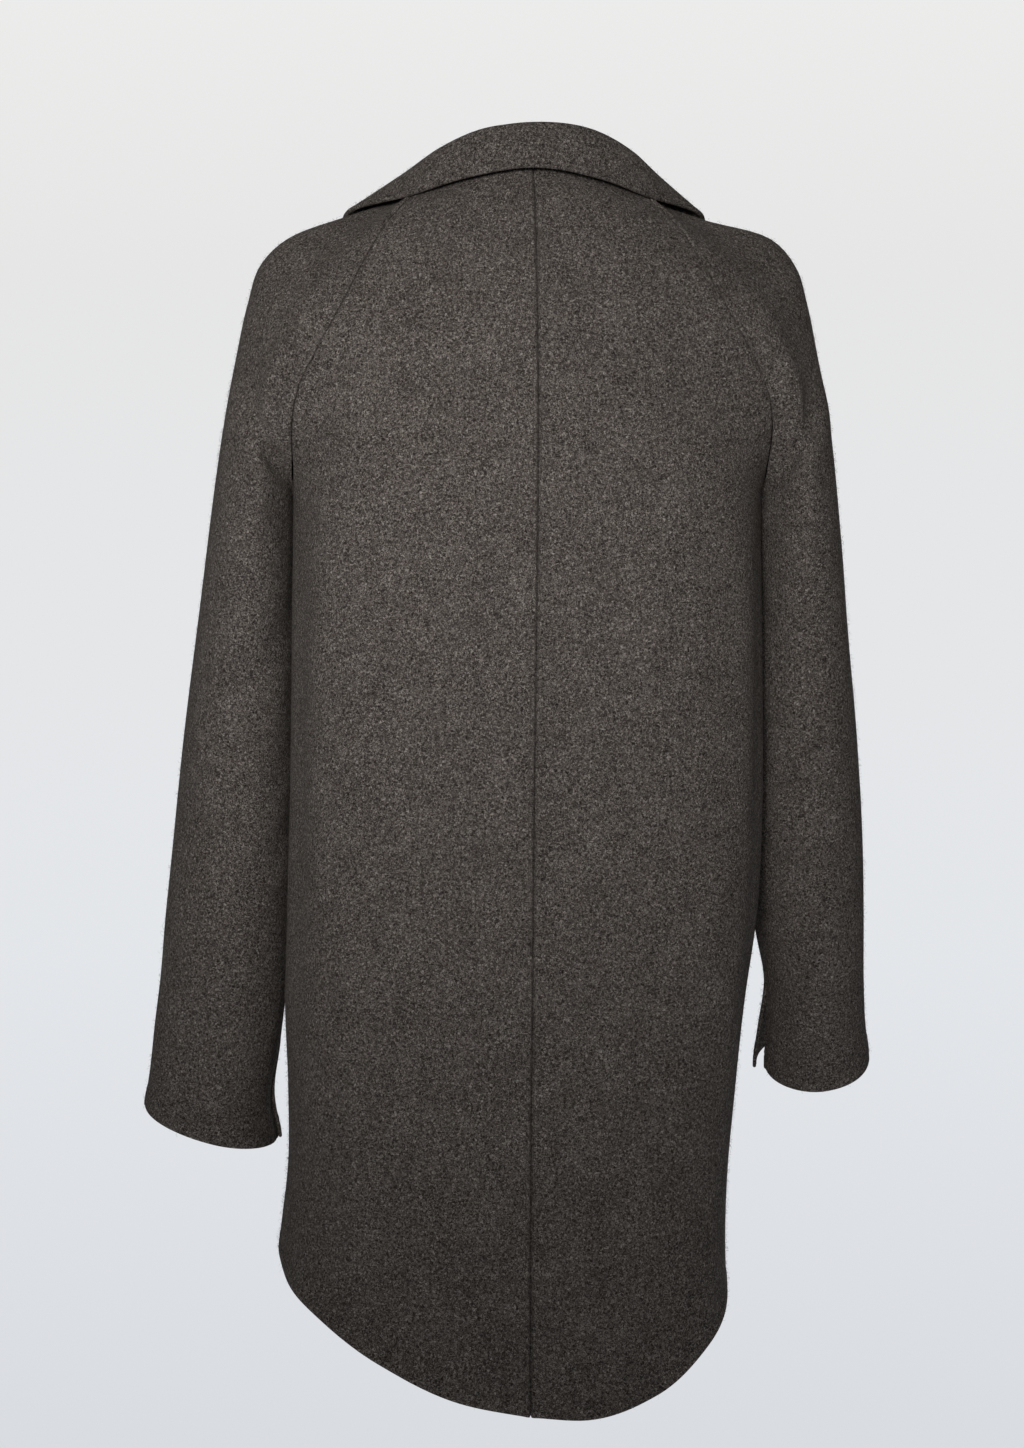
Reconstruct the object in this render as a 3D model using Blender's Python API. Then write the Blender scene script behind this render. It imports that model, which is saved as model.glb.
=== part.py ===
"""A knee-length wool coat that keeps the hollow form it has when it is worn.

Two back panels meet in a centre-back seam and two fronts overlap under three buttons.
The raglan sleeves have a front and a back half each, with a vent at the inner cuff seam.
A folded collar and two lapels lie on the shoulders and the chest, and the hem is a curved tail.

Metres, +Z up. The coat faces -Y and the wearer's left is +X. The origin is the middle of the
neck, level with the collar seam at the centre back.
"""

import math
from collections import namedtuple

import bmesh
import bpy
import numpy as np
from mathutils import Matrix, Vector

# Sides and halves, as signs along X and Y
LEFT = 1
RIGHT = -1
BACK = 1
FRONT = -1
SIDE_NAMES = {LEFT: "left", RIGHT: "right"}
HALF_NAMES = {BACK: "back", FRONT: "front"}

# Cloth and seams
WALL = 0.0026
COLLAR_WALL = 0.0040
SEAM_GAP = 0.0003
LAYER_GAP = 0.0016
LAPEL_GAP = 0.0006

# Heights
UNDERARM_Z = -0.265
VENT_HEIGHT = 0.085

# Front closing
OVERLAP = 0.030
TUCK_FULL_X = 0.036
TUCK_END_X = 0.080
BUTTON_HEIGHTS = (-0.365, -0.490, -0.615)
BUTTON_RADIUS = 0.0140
BUTTON_THICKNESS = 0.0042
BUTTON_RIM = 0.0030
BUTTON_DISH = 0.0012
BUTTON_STEPS = 20
BUTTON_ACROSS = 0.085

# Colours, linear
WOOL_COLOUR = (0.070, 0.060, 0.054)
WOOL_ROUGHNESS = 0.95
HORN_COLOUR = (0.035, 0.024, 0.018)
HORN_ROUGHNESS = 0.35

# Fullness of a row's rounded ends: a share of the distance it turns through. The rounding of the
# body and the crease between body and sleeve fade out at these climbs of the raglan seam.
FULL_BODY = {BACK: 0.80, FRONT: 0.72}
FULL_FLAT = 0.36
FULL_SLEEVE = 0.56
ROUND_TOP = 0.55
CREASE_TOP = 0.42
CREASE_POWER = 1.25

# The stretch of levels below and above the underarm over which a panel bends smoothly, and the
# share across a panel over which that bend gives way to the seam at the underarm
BEND_BELOW = {"body": 0.10, "sleeve": 0.14}
BEND_ABOVE = 0.30
BEND_EDGE = 0.22

# Rows and columns of each panel's grid
BODY_ROWS = 15
YOKE_ROWS = 11
YOKE_SPREAD = 1.35
BODY_COLUMNS = 9
SLEEVE_ROWS = 12
SLEEVE_COLUMNS = 10
COLLAR_STATIONS = 16
COLLAR_COLUMNS = 11
LAPEL_ROWS = 9
LAPEL_COLUMNS = 6

# Horizontal sections of the body, hem to underarm. Sway moves the whole section towards +X, and
# seam is where the middle of the back and of the front lies.
Section = namedtuple("Section", "z half_width back front sway seam")
BODY = (
    Section(-0.990, 0.180, 0.131, 0.140, 0.022, 0.0075),
    Section(-0.900, 0.179, 0.129, 0.141, 0.021, 0.0072),
    Section(-0.850, 0.177, 0.128, 0.141, 0.020, 0.0070),
    Section(-0.790, 0.175, 0.126, 0.142, 0.0155, 0.0065),
    Section(-0.730, 0.178, 0.125, 0.142, 0.0125, 0.0060),
    Section(-0.660, 0.183, 0.124, 0.142, 0.010, 0.0050),
    Section(-0.600, 0.186, 0.123, 0.142, 0.005, 0.0045),
    Section(-0.500, 0.187, 0.122, 0.142, 0.001, 0.0035),
    Section(-0.400, 0.187, 0.121, 0.140, 0.000, 0.0020),
    Section(-0.265, 0.186, 0.118, 0.130, 0.000, 0.0000),
)

# Hem height from the middle of a panel (0) round to its side seam (1)
Hem = namedtuple("Hem", "across back_left back_right front_left front_right")
HEM = (
    Hem(0.00, -0.971, -0.971, -0.935, -0.940),
    Hem(0.12, -0.961, -0.974, -0.934, -0.940),
    Hem(0.32, -0.931, -0.957, -0.926, -0.934),
    Hem(0.54, -0.899, -0.926, -0.906, -0.918),
    Hem(0.75, -0.8775, -0.903, -0.882, -0.900),
    Hem(0.89, -0.8625, -0.8885, -0.8635, -0.8885),
    Hem(1.00, -0.858, -0.885, -0.858, -0.885),
)

# Seams and ridges of the left shoulder, from the underarm (climb 0) to the neckline (climb 1)
Point = namedtuple("Point", "climb x y z")
CENTRE_BACK = (
    Point(0.00, 0.000, 0.1180, -0.265),
    Point(0.25, 0.000, 0.1175, -0.200),
    Point(0.50, 0.000, 0.1120, -0.135),
    Point(0.75, 0.000, 0.0970, -0.066),
    Point(0.90, 0.000, 0.0810, -0.025),
    Point(1.00, 0.000, 0.0660, 0.000),
)
BACK_RAGLAN = (
    Point(0.00, 0.186, 0.000, -0.265),
    Point(0.10, 0.1885, 0.036, -0.243),
    Point(0.22, 0.1905, 0.061, -0.214),
    Point(0.36, 0.1850, 0.077, -0.181),
    Point(0.50, 0.169, 0.086, -0.147),
    Point(0.65, 0.150, 0.084, -0.112),
    Point(0.80, 0.131, 0.072, -0.074),
    Point(0.90, 0.113, 0.055, -0.044),
    Point(1.00, 0.084, 0.028, -0.013),
)
SLEEVE_BACK = (
    Point(0.00, 0.218, 0.069, -0.265),
    Point(0.10, 0.218, 0.0705, -0.241),
    Point(0.22, 0.2155, 0.073, -0.208),
    Point(0.36, 0.208, 0.0745, -0.170),
    Point(0.50, 0.194, 0.071, -0.131),
    Point(0.65, 0.180, 0.060, -0.096),
    Point(0.80, 0.157, 0.045, -0.066),
    Point(0.90, 0.124, 0.033, -0.042),
    Point(1.00, 0.084, 0.012, -0.0135),
)
OVERARM = {
    LEFT: (
        Point(0.00, 0.2500, -0.002, -0.265),
        Point(0.20, 0.2420, -0.002, -0.208),
        Point(0.40, 0.2315, -0.002, -0.150),
        Point(0.55, 0.2220, -0.001, -0.106),
        Point(0.66, 0.2120, 0.000, -0.076),
        Point(0.76, 0.1895, 0.000, -0.0545),
        Point(0.88, 0.1400, -0.002, -0.0355),
        Point(1.00, 0.0830, -0.004, -0.0155),
    ),
    RIGHT: (
        Point(0.00, 0.2500, -0.002, -0.265),
        Point(0.20, 0.2420, -0.002, -0.208),
        Point(0.40, 0.2330, -0.002, -0.150),
        Point(0.55, 0.2255, -0.001, -0.105),
        Point(0.66, 0.2165, 0.000, -0.074),
        Point(0.76, 0.1955, 0.000, -0.0510),
        Point(0.88, 0.1400, -0.002, -0.0358),
        Point(1.00, 0.0830, -0.004, -0.0155),
    ),
}
SLEEVE_FRONT = (
    Point(0.00, 0.218, -0.073, -0.265),
    Point(0.10, 0.217, -0.0745, -0.240),
    Point(0.22, 0.212, -0.076, -0.206),
    Point(0.36, 0.203, -0.077, -0.168),
    Point(0.50, 0.190, -0.073, -0.131),
    Point(0.65, 0.176, -0.062, -0.098),
    Point(0.80, 0.152, -0.049, -0.069),
    Point(0.90, 0.119, -0.040, -0.049),
    Point(1.00, 0.080, -0.025, -0.024),
)
FRONT_RAGLAN = (
    Point(0.00, 0.186, 0.000, -0.265),
    Point(0.10, 0.1820, -0.040, -0.243),
    Point(0.22, 0.1740, -0.069, -0.212),
    Point(0.36, 0.168, -0.089, -0.178),
    Point(0.50, 0.152, -0.095, -0.147),
    Point(0.65, 0.136, -0.091, -0.114),
    Point(0.80, 0.117, -0.079, -0.080),
    Point(0.90, 0.099, -0.064, -0.056),
    Point(1.00, 0.075, -0.043, -0.035),
)
FRONT_ROLL = (
    Point(0.00, -0.003, -0.130, -0.265),
    Point(0.35, 0.020, -0.122, -0.202),
    Point(0.70, 0.043, -0.106, -0.139),
    Point(1.00, 0.062, -0.082, -0.085),
)

# Rings of the sleeves, underarm to cuff. Gap is the clearance to the body's side, slant is how
# much the outer edge is raised and pitch how much the front is raised, each as a slope.
Ring = namedtuple("Ring", "z outer gap y depth slant pitch")
ARMS = {
    LEFT: (
        Ring(-0.760, 0.3045, 0.0120, -0.046, 0.053, 0.27, 0.26),
        Ring(-0.730, 0.3005, 0.0150, -0.043, 0.052, 0.21, 0.22),
        Ring(-0.690, 0.2965, 0.0050, -0.040, 0.053, 0.16, 0.17),
        Ring(-0.650, 0.2920, -0.0010, -0.038, 0.055, 0.10, 0.13),
        Ring(-0.600, 0.2880, -0.0014, -0.036, 0.057, 0.07, 0.09),
        Ring(-0.550, 0.2830, -0.0014, -0.035, 0.059, 0.05, 0.05),
        Ring(-0.450, 0.2730, -0.0016, -0.033, 0.063, 0.02, 0.00),
        Ring(-0.345, 0.2600, -0.0011, -0.026, 0.0675, 0.00, 0.00),
        Ring(-0.265, 0.2500, 0.0000, -0.002, 0.071, 0.00, 0.00),
    ),
    RIGHT: (
        Ring(-0.717, 0.2900, 0.0400, -0.082, 0.052, 0.16, 0.48),
        Ring(-0.690, 0.2860, 0.0360, -0.074, 0.052, 0.15, 0.40),
        Ring(-0.655, 0.2830, 0.0300, -0.064, 0.054, 0.12, 0.30),
        Ring(-0.600, 0.2810, 0.0110, -0.052, 0.057, 0.08, 0.20),
        Ring(-0.550, 0.2790, 0.0006, -0.044, 0.059, 0.05, 0.14),
        Ring(-0.450, 0.2720, -0.0016, -0.034, 0.063, 0.02, 0.05),
        Ring(-0.345, 0.2605, -0.0011, -0.026, 0.0675, 0.00, 0.00),
        Ring(-0.265, 0.2500, 0.0000, -0.002, 0.071, 0.00, 0.00),
    ),
}

# How far the two edges of each cuff vent stand out from the sleeve
VENT_FLARE = {
    (LEFT, BACK): 0.003,
    (LEFT, FRONT): 0.006,
    (RIGHT, BACK): 0.002,
    (RIGHT, FRONT): 0.011,
}

# Sections of the left half of the collar, centre back (0) to the end of the gorge (1). The first
# row mirrors the third, so that the curve runs level through the centre back.
Fold = namedtuple("Fold", "share fold_x fold_y fold_z edge_x edge_y edge_z")
COLLAR = (
    Fold(-0.20, -0.0455, 0.0575, 0.0255, -0.055, 0.0680, -0.0125),
    Fold(0.00, 0.0000, 0.0690, 0.0300, 0.000, 0.0815, -0.0055),
    Fold(0.20, 0.0455, 0.0575, 0.0255, 0.055, 0.0680, -0.0125),
    Fold(0.36, 0.0780, 0.0360, 0.0120, 0.097, 0.0430, -0.0230),
    Fold(0.52, 0.0925, 0.0000, -0.0010, 0.138, 0.0050, -0.0285),
    Fold(0.60, 0.0965, -0.0190, -0.0060, 0.145, -0.0140, -0.0325),
    Fold(0.70, 0.0955, -0.0410, -0.0155, 0.146, -0.0390, -0.0465),
    Fold(0.84, 0.0850, -0.0660, -0.0370, 0.137, -0.0680, -0.0650),
    Fold(1.00, 0.0670, -0.0900, -0.0770, 0.120, -0.0960, -0.0920),
)
COLLAR_LEAN = -0.0045
COLLAR_LIFT = 0.0020

# Lapel width from the roll line, from its start (0) to its top edge (1)
Lapel = namedtuple("Lapel", "rise width")
LAPEL = (
    Lapel(0.00, 0.004),
    Lapel(0.30, 0.028),
    Lapel(0.60, 0.054),
    Lapel(0.85, 0.072),
    Lapel(1.00, 0.080),
)
LAPEL_TOP_DROP = 0.36
LAPEL_START = {LEFT: 1.07, RIGHT: 0.882}
LAPEL_TOP = 1.965


# Curves

def vec(x, y, z):
    return np.stack(np.broadcast_arrays(x, y, z), axis=-1).astype(float)


def unit(v):
    return v / np.linalg.norm(v, axis=-1, keepdims=True)


def smooth(table, column, at):
    """A column of a table, on a smooth curve through its rows, at any value of the first column."""
    keys = np.array([row[0] for row in table])
    values = np.array([getattr(row, column) for row in table])
    slopes = np.gradient(values, keys)
    at = np.clip(at, keys[0], keys[-1])
    i = np.clip(np.searchsorted(keys, at, side="right") - 1, 0, len(keys) - 2)
    span = keys[i + 1] - keys[i]
    t = (at - keys[i]) / span
    ease = t * t * (3 - 2 * t)
    bend = t * (1 - t) * span * (slopes[i] * (1 - t) - slopes[i + 1] * t)
    return values[i] + (values[i + 1] - values[i]) * ease + bend


def point(table, climb):
    return vec(*(smooth(table, axis, climb) for axis in "xyz"))


def fade(value, full, end):
    """1 at full, 0 at end and beyond, eased between them."""
    t = np.clip((value - end) / (full - end), 0, 1)
    return t * t * (3 - 2 * t)


def row(start, leave, finish, arrive, full, t):
    """Points on a curve from start to finish that leaves and arrives along the two directions.

    full is a pair: how far each end runs on in its direction, as a share of the distance.
    """
    t = np.asarray(t)[..., None]
    out, back = (np.asarray(share)[..., None] for share in full)
    chord = finish - start
    first = start + leave * out * np.abs((chord * leave).sum(-1, keepdims=True))
    second = finish - arrive * back * np.abs((chord * arrive).sum(-1, keepdims=True))
    s = 1 - t
    return s**3 * start + 3 * s * s * t * first + 3 * s * t * t * second + t**3 * finish


# Body and sleeve surfaces of the left side, at their outer face

def front_edge_x(z):
    """The front edge: past the middle below the break, and on the lapel's roll line above it."""
    lowest, highest = FRONT_ROLL[0], FRONT_ROLL[-1]
    slope = (highest.x - lowest.x) / (highest.z - lowest.z)
    return np.maximum(-OVERLAP, lowest.x + slope * (z - lowest.z))


def lower_body(side, half, across, rise):
    hem = smooth(HEM, f"{HALF_NAMES[half]}_{SIDE_NAMES[side]}", across)
    z = hem + rise * (UNDERARM_Z - hem)
    sway = side * smooth(BODY, "sway", z)
    middle = vec(side * smooth(BODY, "seam", z), half * smooth(BODY, HALF_NAMES[half], z), z)
    edge = vec(smooth(BODY, "half_width", z) + sway, 0, z)
    full = FULL_BODY[half]
    first = 0 * z
    if half == FRONT:
        first = front_edge_x(z) / (3 * full * (edge - middle)[..., 0])
    place = first + (1 - first) * across
    points = row(middle, vec(1, 0, 0), edge, vec(0, -half, 0), (full, full), np.abs(place))
    past_middle = place < 0
    points[..., 0] = np.where(past_middle, 2 * middle[..., 0] - points[..., 0], points[..., 0])
    return points


def shoulder(half, climb):
    """The seams and the directions across them that a row of the shoulder passes through."""
    back = half == BACK
    middle = point(CENTRE_BACK if back else FRONT_ROLL, climb)
    raglan = point(BACK_RAGLAN if back else FRONT_RAGLAN, climb)
    ridge = point(SLEEVE_BACK if back else SLEEVE_FRONT, climb)
    crease = (np.clip(1 - climb / CREASE_TOP, 0, 1) ** CREASE_POWER)[..., None]
    along = unit(ridge - middle) * (1 - crease)
    into = unit(along + crease * vec(0, -half, 0))
    out_of = unit(along + crease * vec(0, half, 0))
    more = FULL_BODY[half] - FULL_FLAT
    rounding = np.clip(1 - climb / ROUND_TOP, 0, 1) ** CREASE_POWER
    full = (FULL_FLAT + more * rounding, FULL_FLAT + more * rounding**3)
    return middle, raglan, ridge, into, out_of, full


def upper_body(half, across, climb):
    middle, raglan, _, into, _, full = shoulder(half, climb)
    return row(middle, vec(1, 0, 0), raglan, into, full, across)


def bend(surface, across, level, below, weight):
    """The surface with one smooth bend over the underarm level, as far as weight says."""
    across, level = np.broadcast_arrays(across, level)
    low, high, step = 1 - below, 1 + BEND_ABOVE, 1e-4
    start, middle, finish = (surface(across, place + 0 * across) for place in (low, 1.0, high))
    leave = unit(start - surface(across, low - step + 0 * across))
    arrive = unit(surface(across, high + step + 0 * across) - finish)
    run = np.linalg.norm(middle - start, axis=-1)
    turn = run / (run + np.linalg.norm(finish - middle, axis=-1))
    rising = turn * (level - low) / (1 - low)
    closing = turn + (1 - turn) * (level - 1) / (high - 1)
    t = np.clip(np.where(level < 1, rising, closing), 0, 1)
    chord = np.linalg.norm(finish - start, axis=-1, keepdims=True) / 3
    s, t = 1 - t[..., None], t[..., None]
    first, second = start + leave * chord, finish - arrive * chord
    curve = s**3 * start + 3 * s * s * t * first + 3 * s * t * t * second + t**3 * finish
    weight = np.where((level > low) & (level < high), weight, 0)[..., None]
    return surface(across, level) * (1 - weight) + curve * weight


def body(side, half, across, level):
    """Level 0 is the hem, 1 the underarm and 2 the neckline."""
    across, level = np.broadcast_arrays(across, level)

    def plain(a, b):
        low = lower_body(side, half, a, np.clip(b, 0, 1))
        high = upper_body(half, a, np.clip(b - 1, 0, 1))
        return np.where((b <= 1)[..., None], low, high)

    points = bend(plain, across, level, BEND_BELOW["body"], fade(across, 1 - BEND_EDGE, 1))
    if half == FRONT and side == LEFT:
        points[..., 1] += (WALL + LAYER_GAP) * fade(points[..., 0], TUCK_FULL_X, TUCK_END_X)
    return points


def ring(side, rise):
    """Inner seam, outer seam, middle and the two directions of a sleeve's ring, cuff to underarm."""
    table = ARMS[side]
    z = table[0].z + rise * (UNDERARM_Z - table[0].z)
    outer_x = smooth(table, "outer", z)
    side_x = smooth(BODY, "half_width", z) + side * smooth(BODY, "sway", z)
    inner_x = side_x + smooth(table, "gap", z)
    tilt = smooth(table, "slant", z) * (outer_x - inner_x) / 2
    y = smooth(table, "y", z)
    inner = vec(inner_x, y * (1 - rise**16), z - tilt)
    outer = vec(outer_x, y, z + tilt)
    backward = unit(vec(0, 1, -smooth(table, "pitch", z)))
    return inner, outer, backward * smooth(table, "depth", z)[..., None]


def lower_sleeve(side, half, across, rise):
    inner, outer, backward = ring(side, rise)
    ridge = (inner + outer) / 2 + half * backward
    outward = half * unit(backward)
    return sleeve_row(inner, outward, ridge, outer, -outward, across)


def sleeve_row(inner, leave, ridge, outer, arrive, across):
    """From the inner or raglan seam over the ridge of the sleeve to the overarm seam."""
    along = unit(outer - inner)
    full = (FULL_SLEEVE, FULL_SLEEVE)
    near = row(inner, leave, ridge, along, full, np.clip(2 * across, 0, 1))
    far = row(ridge, along, outer, arrive, full, np.clip(2 * across - 1, 0, 1))
    return np.where((across <= 0.5)[..., None], near, far)


def upper_sleeve(side, half, across, climb):
    _, raglan, ridge, _, out_of, _ = shoulder(half, climb)
    over = point(OVERARM[side], climb)
    return sleeve_row(raglan, out_of, ridge, over, vec(0, -half, 0), across)


def vent(side, half, across, rise):
    """How far the inner cuff edges stand out below the top of the vent."""
    length = UNDERARM_Z - ARMS[side][0].z
    opening = fade(rise * length, 0, VENT_HEIGHT)
    return -VENT_FLARE[side, half] * opening * fade(across, 0, 0.45)


def sleeve(side, half, across, level):
    """Level 0 is the cuff, 1 the underarm and 2 the neckline."""
    across, level = np.broadcast_arrays(across, level)

    def plain(a, b):
        rise = np.clip(b, 0, 1)
        low = lower_sleeve(side, half, a, rise)
        low[..., 0] += vent(side, half, a, rise)
        high = upper_sleeve(side, half, a, np.clip(b - 1, 0, 1))
        return np.where((b <= 1)[..., None], low, high)

    return bend(plain, across, level, BEND_BELOW["sleeve"], fade(across, BEND_EDGE, 0))


# Pieces that lie on the panels

def normals(surface, across, level, outward):
    """Unit normals of a surface, from points a little apart; outward is 1 or -1."""
    step = 1e-4
    low_a, high_a = np.clip(across - step, 0, None), across + step
    da = surface(np.minimum(high_a, 1), level) - surface(low_a, level)
    dl = surface(across, level + step) - surface(across, level - step)
    return outward * unit(np.cross(da, dl))


def share_at(surface, level, distance):
    """How far across each row a point lies that is a distance along the cloth from its start."""
    steps = np.linspace(0, 1, 41)
    flat_level, flat_distance = np.ravel(level), np.ravel(distance)
    lines = surface(steps[None, :], flat_level[:, None])
    lengths = np.cumsum(np.linalg.norm(np.diff(lines, axis=1), axis=2), axis=1)
    shares = [np.interp(d, np.append(0, run), steps) for d, run in zip(flat_distance, lengths)]
    return np.reshape(shares, np.shape(level))


def lapel(side, across, rise):
    """Points of the front, moved out, between the roll line and the lapel's edge."""
    across, rise = np.broadcast_arrays(across, rise)
    top = LAPEL_TOP - LAPEL_TOP_DROP * across
    level = LAPEL_START[side] + rise * (top - LAPEL_START[side])

    def front(a, b):
        return body(side, FRONT, a, b)

    share = share_at(front, level, across * smooth(LAPEL, "width", rise))
    out = normals(front, share, level, -FRONT)
    return front(share, level) + out * (WALL + LAPEL_GAP)


def neckline(share):
    """The collar seam of the left half, from the centre back to the end of the gorge."""
    t = np.linspace(0, 1, 12)
    top = np.full_like(t, 2.0)
    runs = (
        body(LEFT, BACK, t, top),
        sleeve(LEFT, BACK, t, top),
        sleeve(LEFT, FRONT, t[::-1], top),
        body(RIGHT, FRONT, t[::-1], top),
    )
    line = np.concatenate([run[:-1] for run in runs] + [runs[-1][-1:]])
    length = np.concatenate([[0], np.cumsum(np.linalg.norm(np.diff(line, axis=0), axis=1))])
    return vec(*(np.interp(share * length[-1], length, line[:, axis]) for axis in range(3)))


def collar(across, share):
    """From the neckline up the stand (across 0 to 0.4), over the fold and down to the edge (1)."""
    across, share = np.broadcast_arrays(across, share)
    mirror = np.where(share < 0, -1.0, 1.0)
    place = np.abs(share)
    fold = vec(*(smooth(COLLAR, "fold_" + axis, place) for axis in "xyz"))
    fold[..., 0] += mirror * COLLAR_LEAN * fade(place, 0.7, 1)
    edge = vec(*(smooth(COLLAR, "edge_" + axis, place) for axis in "xyz"))
    outward = unit((edge - fold) * np.array([1, 1, 0]))
    seam = neckline(place) + vec(0, 0, COLLAR_LIFT) - outward * COLLAR_WALL
    up = unit(fold - seam + vec(0, 0, 0.04))
    down = unit(edge - fold - outward * 0.006)
    stand = row(seam, up, fold, outward, (0.55, 0.55), np.clip(across / 0.4, 0, 1))
    fall = row(fold, outward, edge, down, (0.28, 0.30), np.clip((across - 0.4) / 0.6, 0, 1))
    points = np.where((across <= 0.4)[..., None], stand, fall)
    points[..., 0] *= mirror
    return points


# Meshes

def cloth(name, surface, columns, rows, side, flip, wall, trim):
    """A panel with a wall of cloth behind its surface.

    trim says which edges meet a seam and stand back from it: first and last column, first and
    last row. flip is 1 or -1, so that the normals point out of the garment.
    """
    across, level = np.meshgrid(columns, rows)
    outer = surface(across, level)
    out = normals(surface, across, level, flip)
    for axis, (first, last) in ((1, trim[:2]), (0, trim[2:])):
        grid = np.moveaxis(outer, axis, 0)
        if first:
            grid[0] += unit(grid[1] - grid[0]) * SEAM_GAP / 2
        if last:
            grid[-1] += unit(grid[-2] - grid[-1]) * SEAM_GAP / 2
    outer = outer - out * SEAM_GAP / 2
    inner = outer - out * wall
    for grid in (outer, inner):
        grid[..., 0] *= side
    wool = make_material(name + "_wool", WOOL_COLOUR, WOOL_ROUGHNESS)
    solid_of_grids(name, outer, inner, flip * side, wool)


def solid_of_grids(name, outer, inner, turn, material):
    """One closed mesh from an outer and an inner grid of points, with a rim round them."""
    mesh = bmesh.new()
    layers = [[[mesh.verts.new(p) for p in line] for line in grid] for grid in (outer, inner)]

    def face(*corners):
        mesh.faces.new(corners if turn > 0 else corners[::-1])

    rows, columns = outer.shape[:2]
    for j in range(rows - 1):
        for i in range(columns - 1):
            for layer, order in zip(layers, (1, -1)):
                corners = [layer[j][i], layer[j][i + 1], layer[j + 1][i + 1], layer[j + 1][i]]
                face(*corners[::order])
    border = [(0, i) for i in range(columns)] + [(j, columns - 1) for j in range(1, rows)]
    border += [(rows - 1, i) for i in range(columns - 2, -1, -1)]
    border += [(j, 0) for j in range(rows - 2, 0, -1)]
    for (j, i), (m, k) in zip(border, border[1:] + border[:1]):
        face(layers[0][m][k], layers[0][j][i], layers[1][j][i], layers[1][m][k])
    finish_object(name, mesh, material)


def finish_object(name, mesh, material):
    data = bpy.data.meshes.new(name)
    mesh.to_mesh(data)
    mesh.free()
    data.shade_smooth()
    data.set_sharp_from_angle(angle=math.radians(50))
    data.materials.append(material)
    made = bpy.data.objects.new(name, data)
    bpy.context.collection.objects.link(made)


def make_material(name, colour, roughness):
    material = bpy.data.materials.new(name)
    material.use_nodes = True
    shader = material.node_tree.nodes["Principled BSDF"]
    shader.inputs["Base Color"].default_value = (*colour, 1)
    shader.inputs["Roughness"].default_value = roughness
    shader.inputs["Metallic"].default_value = 0.0
    return material


# The coat's pieces

def levels(lower_rows):
    """Rows from the lower edge to the underarm and on to the neckline, denser at the underarm."""
    low = np.linspace(0, 1, lower_rows + 1)[:-1]
    return np.concatenate([low, 1 + np.linspace(0, 1, YOKE_ROWS + 1) ** YOKE_SPREAD])


def make_body():
    columns = np.linspace(0, 1, BODY_COLUMNS + 1)
    for side in (LEFT, RIGHT):
        for half in (BACK, FRONT):
            cloth(
                f"{HALF_NAMES[half]}_{SIDE_NAMES[side]}",
                lambda a, b, s=side, h=half: body(s, h, a, b),
                columns, levels(BODY_ROWS), side, -half, WALL, (half == BACK, 1, 0, 1),
            )


def make_sleeves():
    columns = np.linspace(0, 1, SLEEVE_COLUMNS + 1)
    for side in (LEFT, RIGHT):
        for half in (BACK, FRONT):
            cloth(
                f"sleeve_{HALF_NAMES[half]}_{SIDE_NAMES[side]}",
                lambda a, b, s=side, h=half: sleeve(s, h, a, b),
                columns, levels(SLEEVE_ROWS), side, -half, WALL, (1, 1, 0, 1),
            )


def make_collar():
    shares = np.linspace(-1, 1, 2 * COLLAR_STATIONS + 1)
    columns = np.linspace(0, 1, COLLAR_COLUMNS + 1)
    cloth("collar", collar, columns, shares, LEFT, FRONT, COLLAR_WALL, (0, 0, 0, 0))


def make_lapels():
    columns = np.linspace(0, 1, LAPEL_COLUMNS + 1)
    rises = np.linspace(0, 1, LAPEL_ROWS + 1)
    for side in (LEFT, RIGHT):
        cloth(
            f"lapel_{SIDE_NAMES[side]}",
            lambda a, b, s=side: lapel(s, a, b),
            columns, rises, side, -FRONT, WALL, (0, 0, 0, 0),
        )


def make_button(name, seat, facing, horn):
    """A dished disc with its flat back at seat, looking along facing."""
    profile = (
        (0.0, 0.0),
        (BUTTON_RADIUS - BUTTON_RIM / 3, 0.0),
        (BUTTON_RADIUS, BUTTON_THICKNESS / 2),
        (BUTTON_RADIUS - BUTTON_RIM / 3, BUTTON_THICKNESS),
        (BUTTON_RADIUS - BUTTON_RIM, BUTTON_THICKNESS - BUTTON_DISH),
        (0.0, BUTTON_THICKNESS - BUTTON_DISH),
    )
    mesh = bmesh.new()
    points = [mesh.verts.new((radius, 0, height)) for radius, height in profile]
    for start, end in zip(points, points[1:]):
        mesh.edges.new((start, end))
    bmesh.ops.spin(
        mesh, geom=mesh.verts[:] + mesh.edges[:], axis=(0, 0, 1), cent=(0, 0, 0),
        angle=2 * math.pi, steps=BUTTON_STEPS, use_merge=True,
    )
    bmesh.ops.remove_doubles(mesh, verts=mesh.verts[:], dist=1e-6)
    bmesh.ops.recalc_face_normals(mesh, faces=mesh.faces[:])
    place = Matrix.Translation(seat) @ Vector(facing).to_track_quat("Z", "Y").to_matrix().to_4x4()
    bmesh.ops.transform(mesh, matrix=place, verts=mesh.verts[:])
    finish_object(name, mesh, horn)


def make_buttons():
    """The buttons stand on the overlapping front, in the middle of the overlap."""
    across = np.array(BUTTON_ACROSS)
    mirror = np.array([RIGHT, 1, 1])

    def front(a, b):
        return body(RIGHT, FRONT, a, b)

    for number, z in enumerate(BUTTON_HEIGHTS, 1):
        name = f"button_{number}"
        hem = smooth(HEM, "front_right", across)
        level = (z - hem) / (UNDERARM_Z - hem)
        out = normals(front, across, level, -FRONT)
        seat = front(across, level) + out * SEAM_GAP
        horn = make_material(name + "_horn", HORN_COLOUR, HORN_ROUGHNESS)
        make_button(name, seat * mirror, out * mirror, horn)


def main():
    for old in list(bpy.data.objects):
        bpy.data.objects.remove(old)
    make_body()
    make_sleeves()
    make_collar()
    make_lapels()
    make_buttons()


main()
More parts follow.
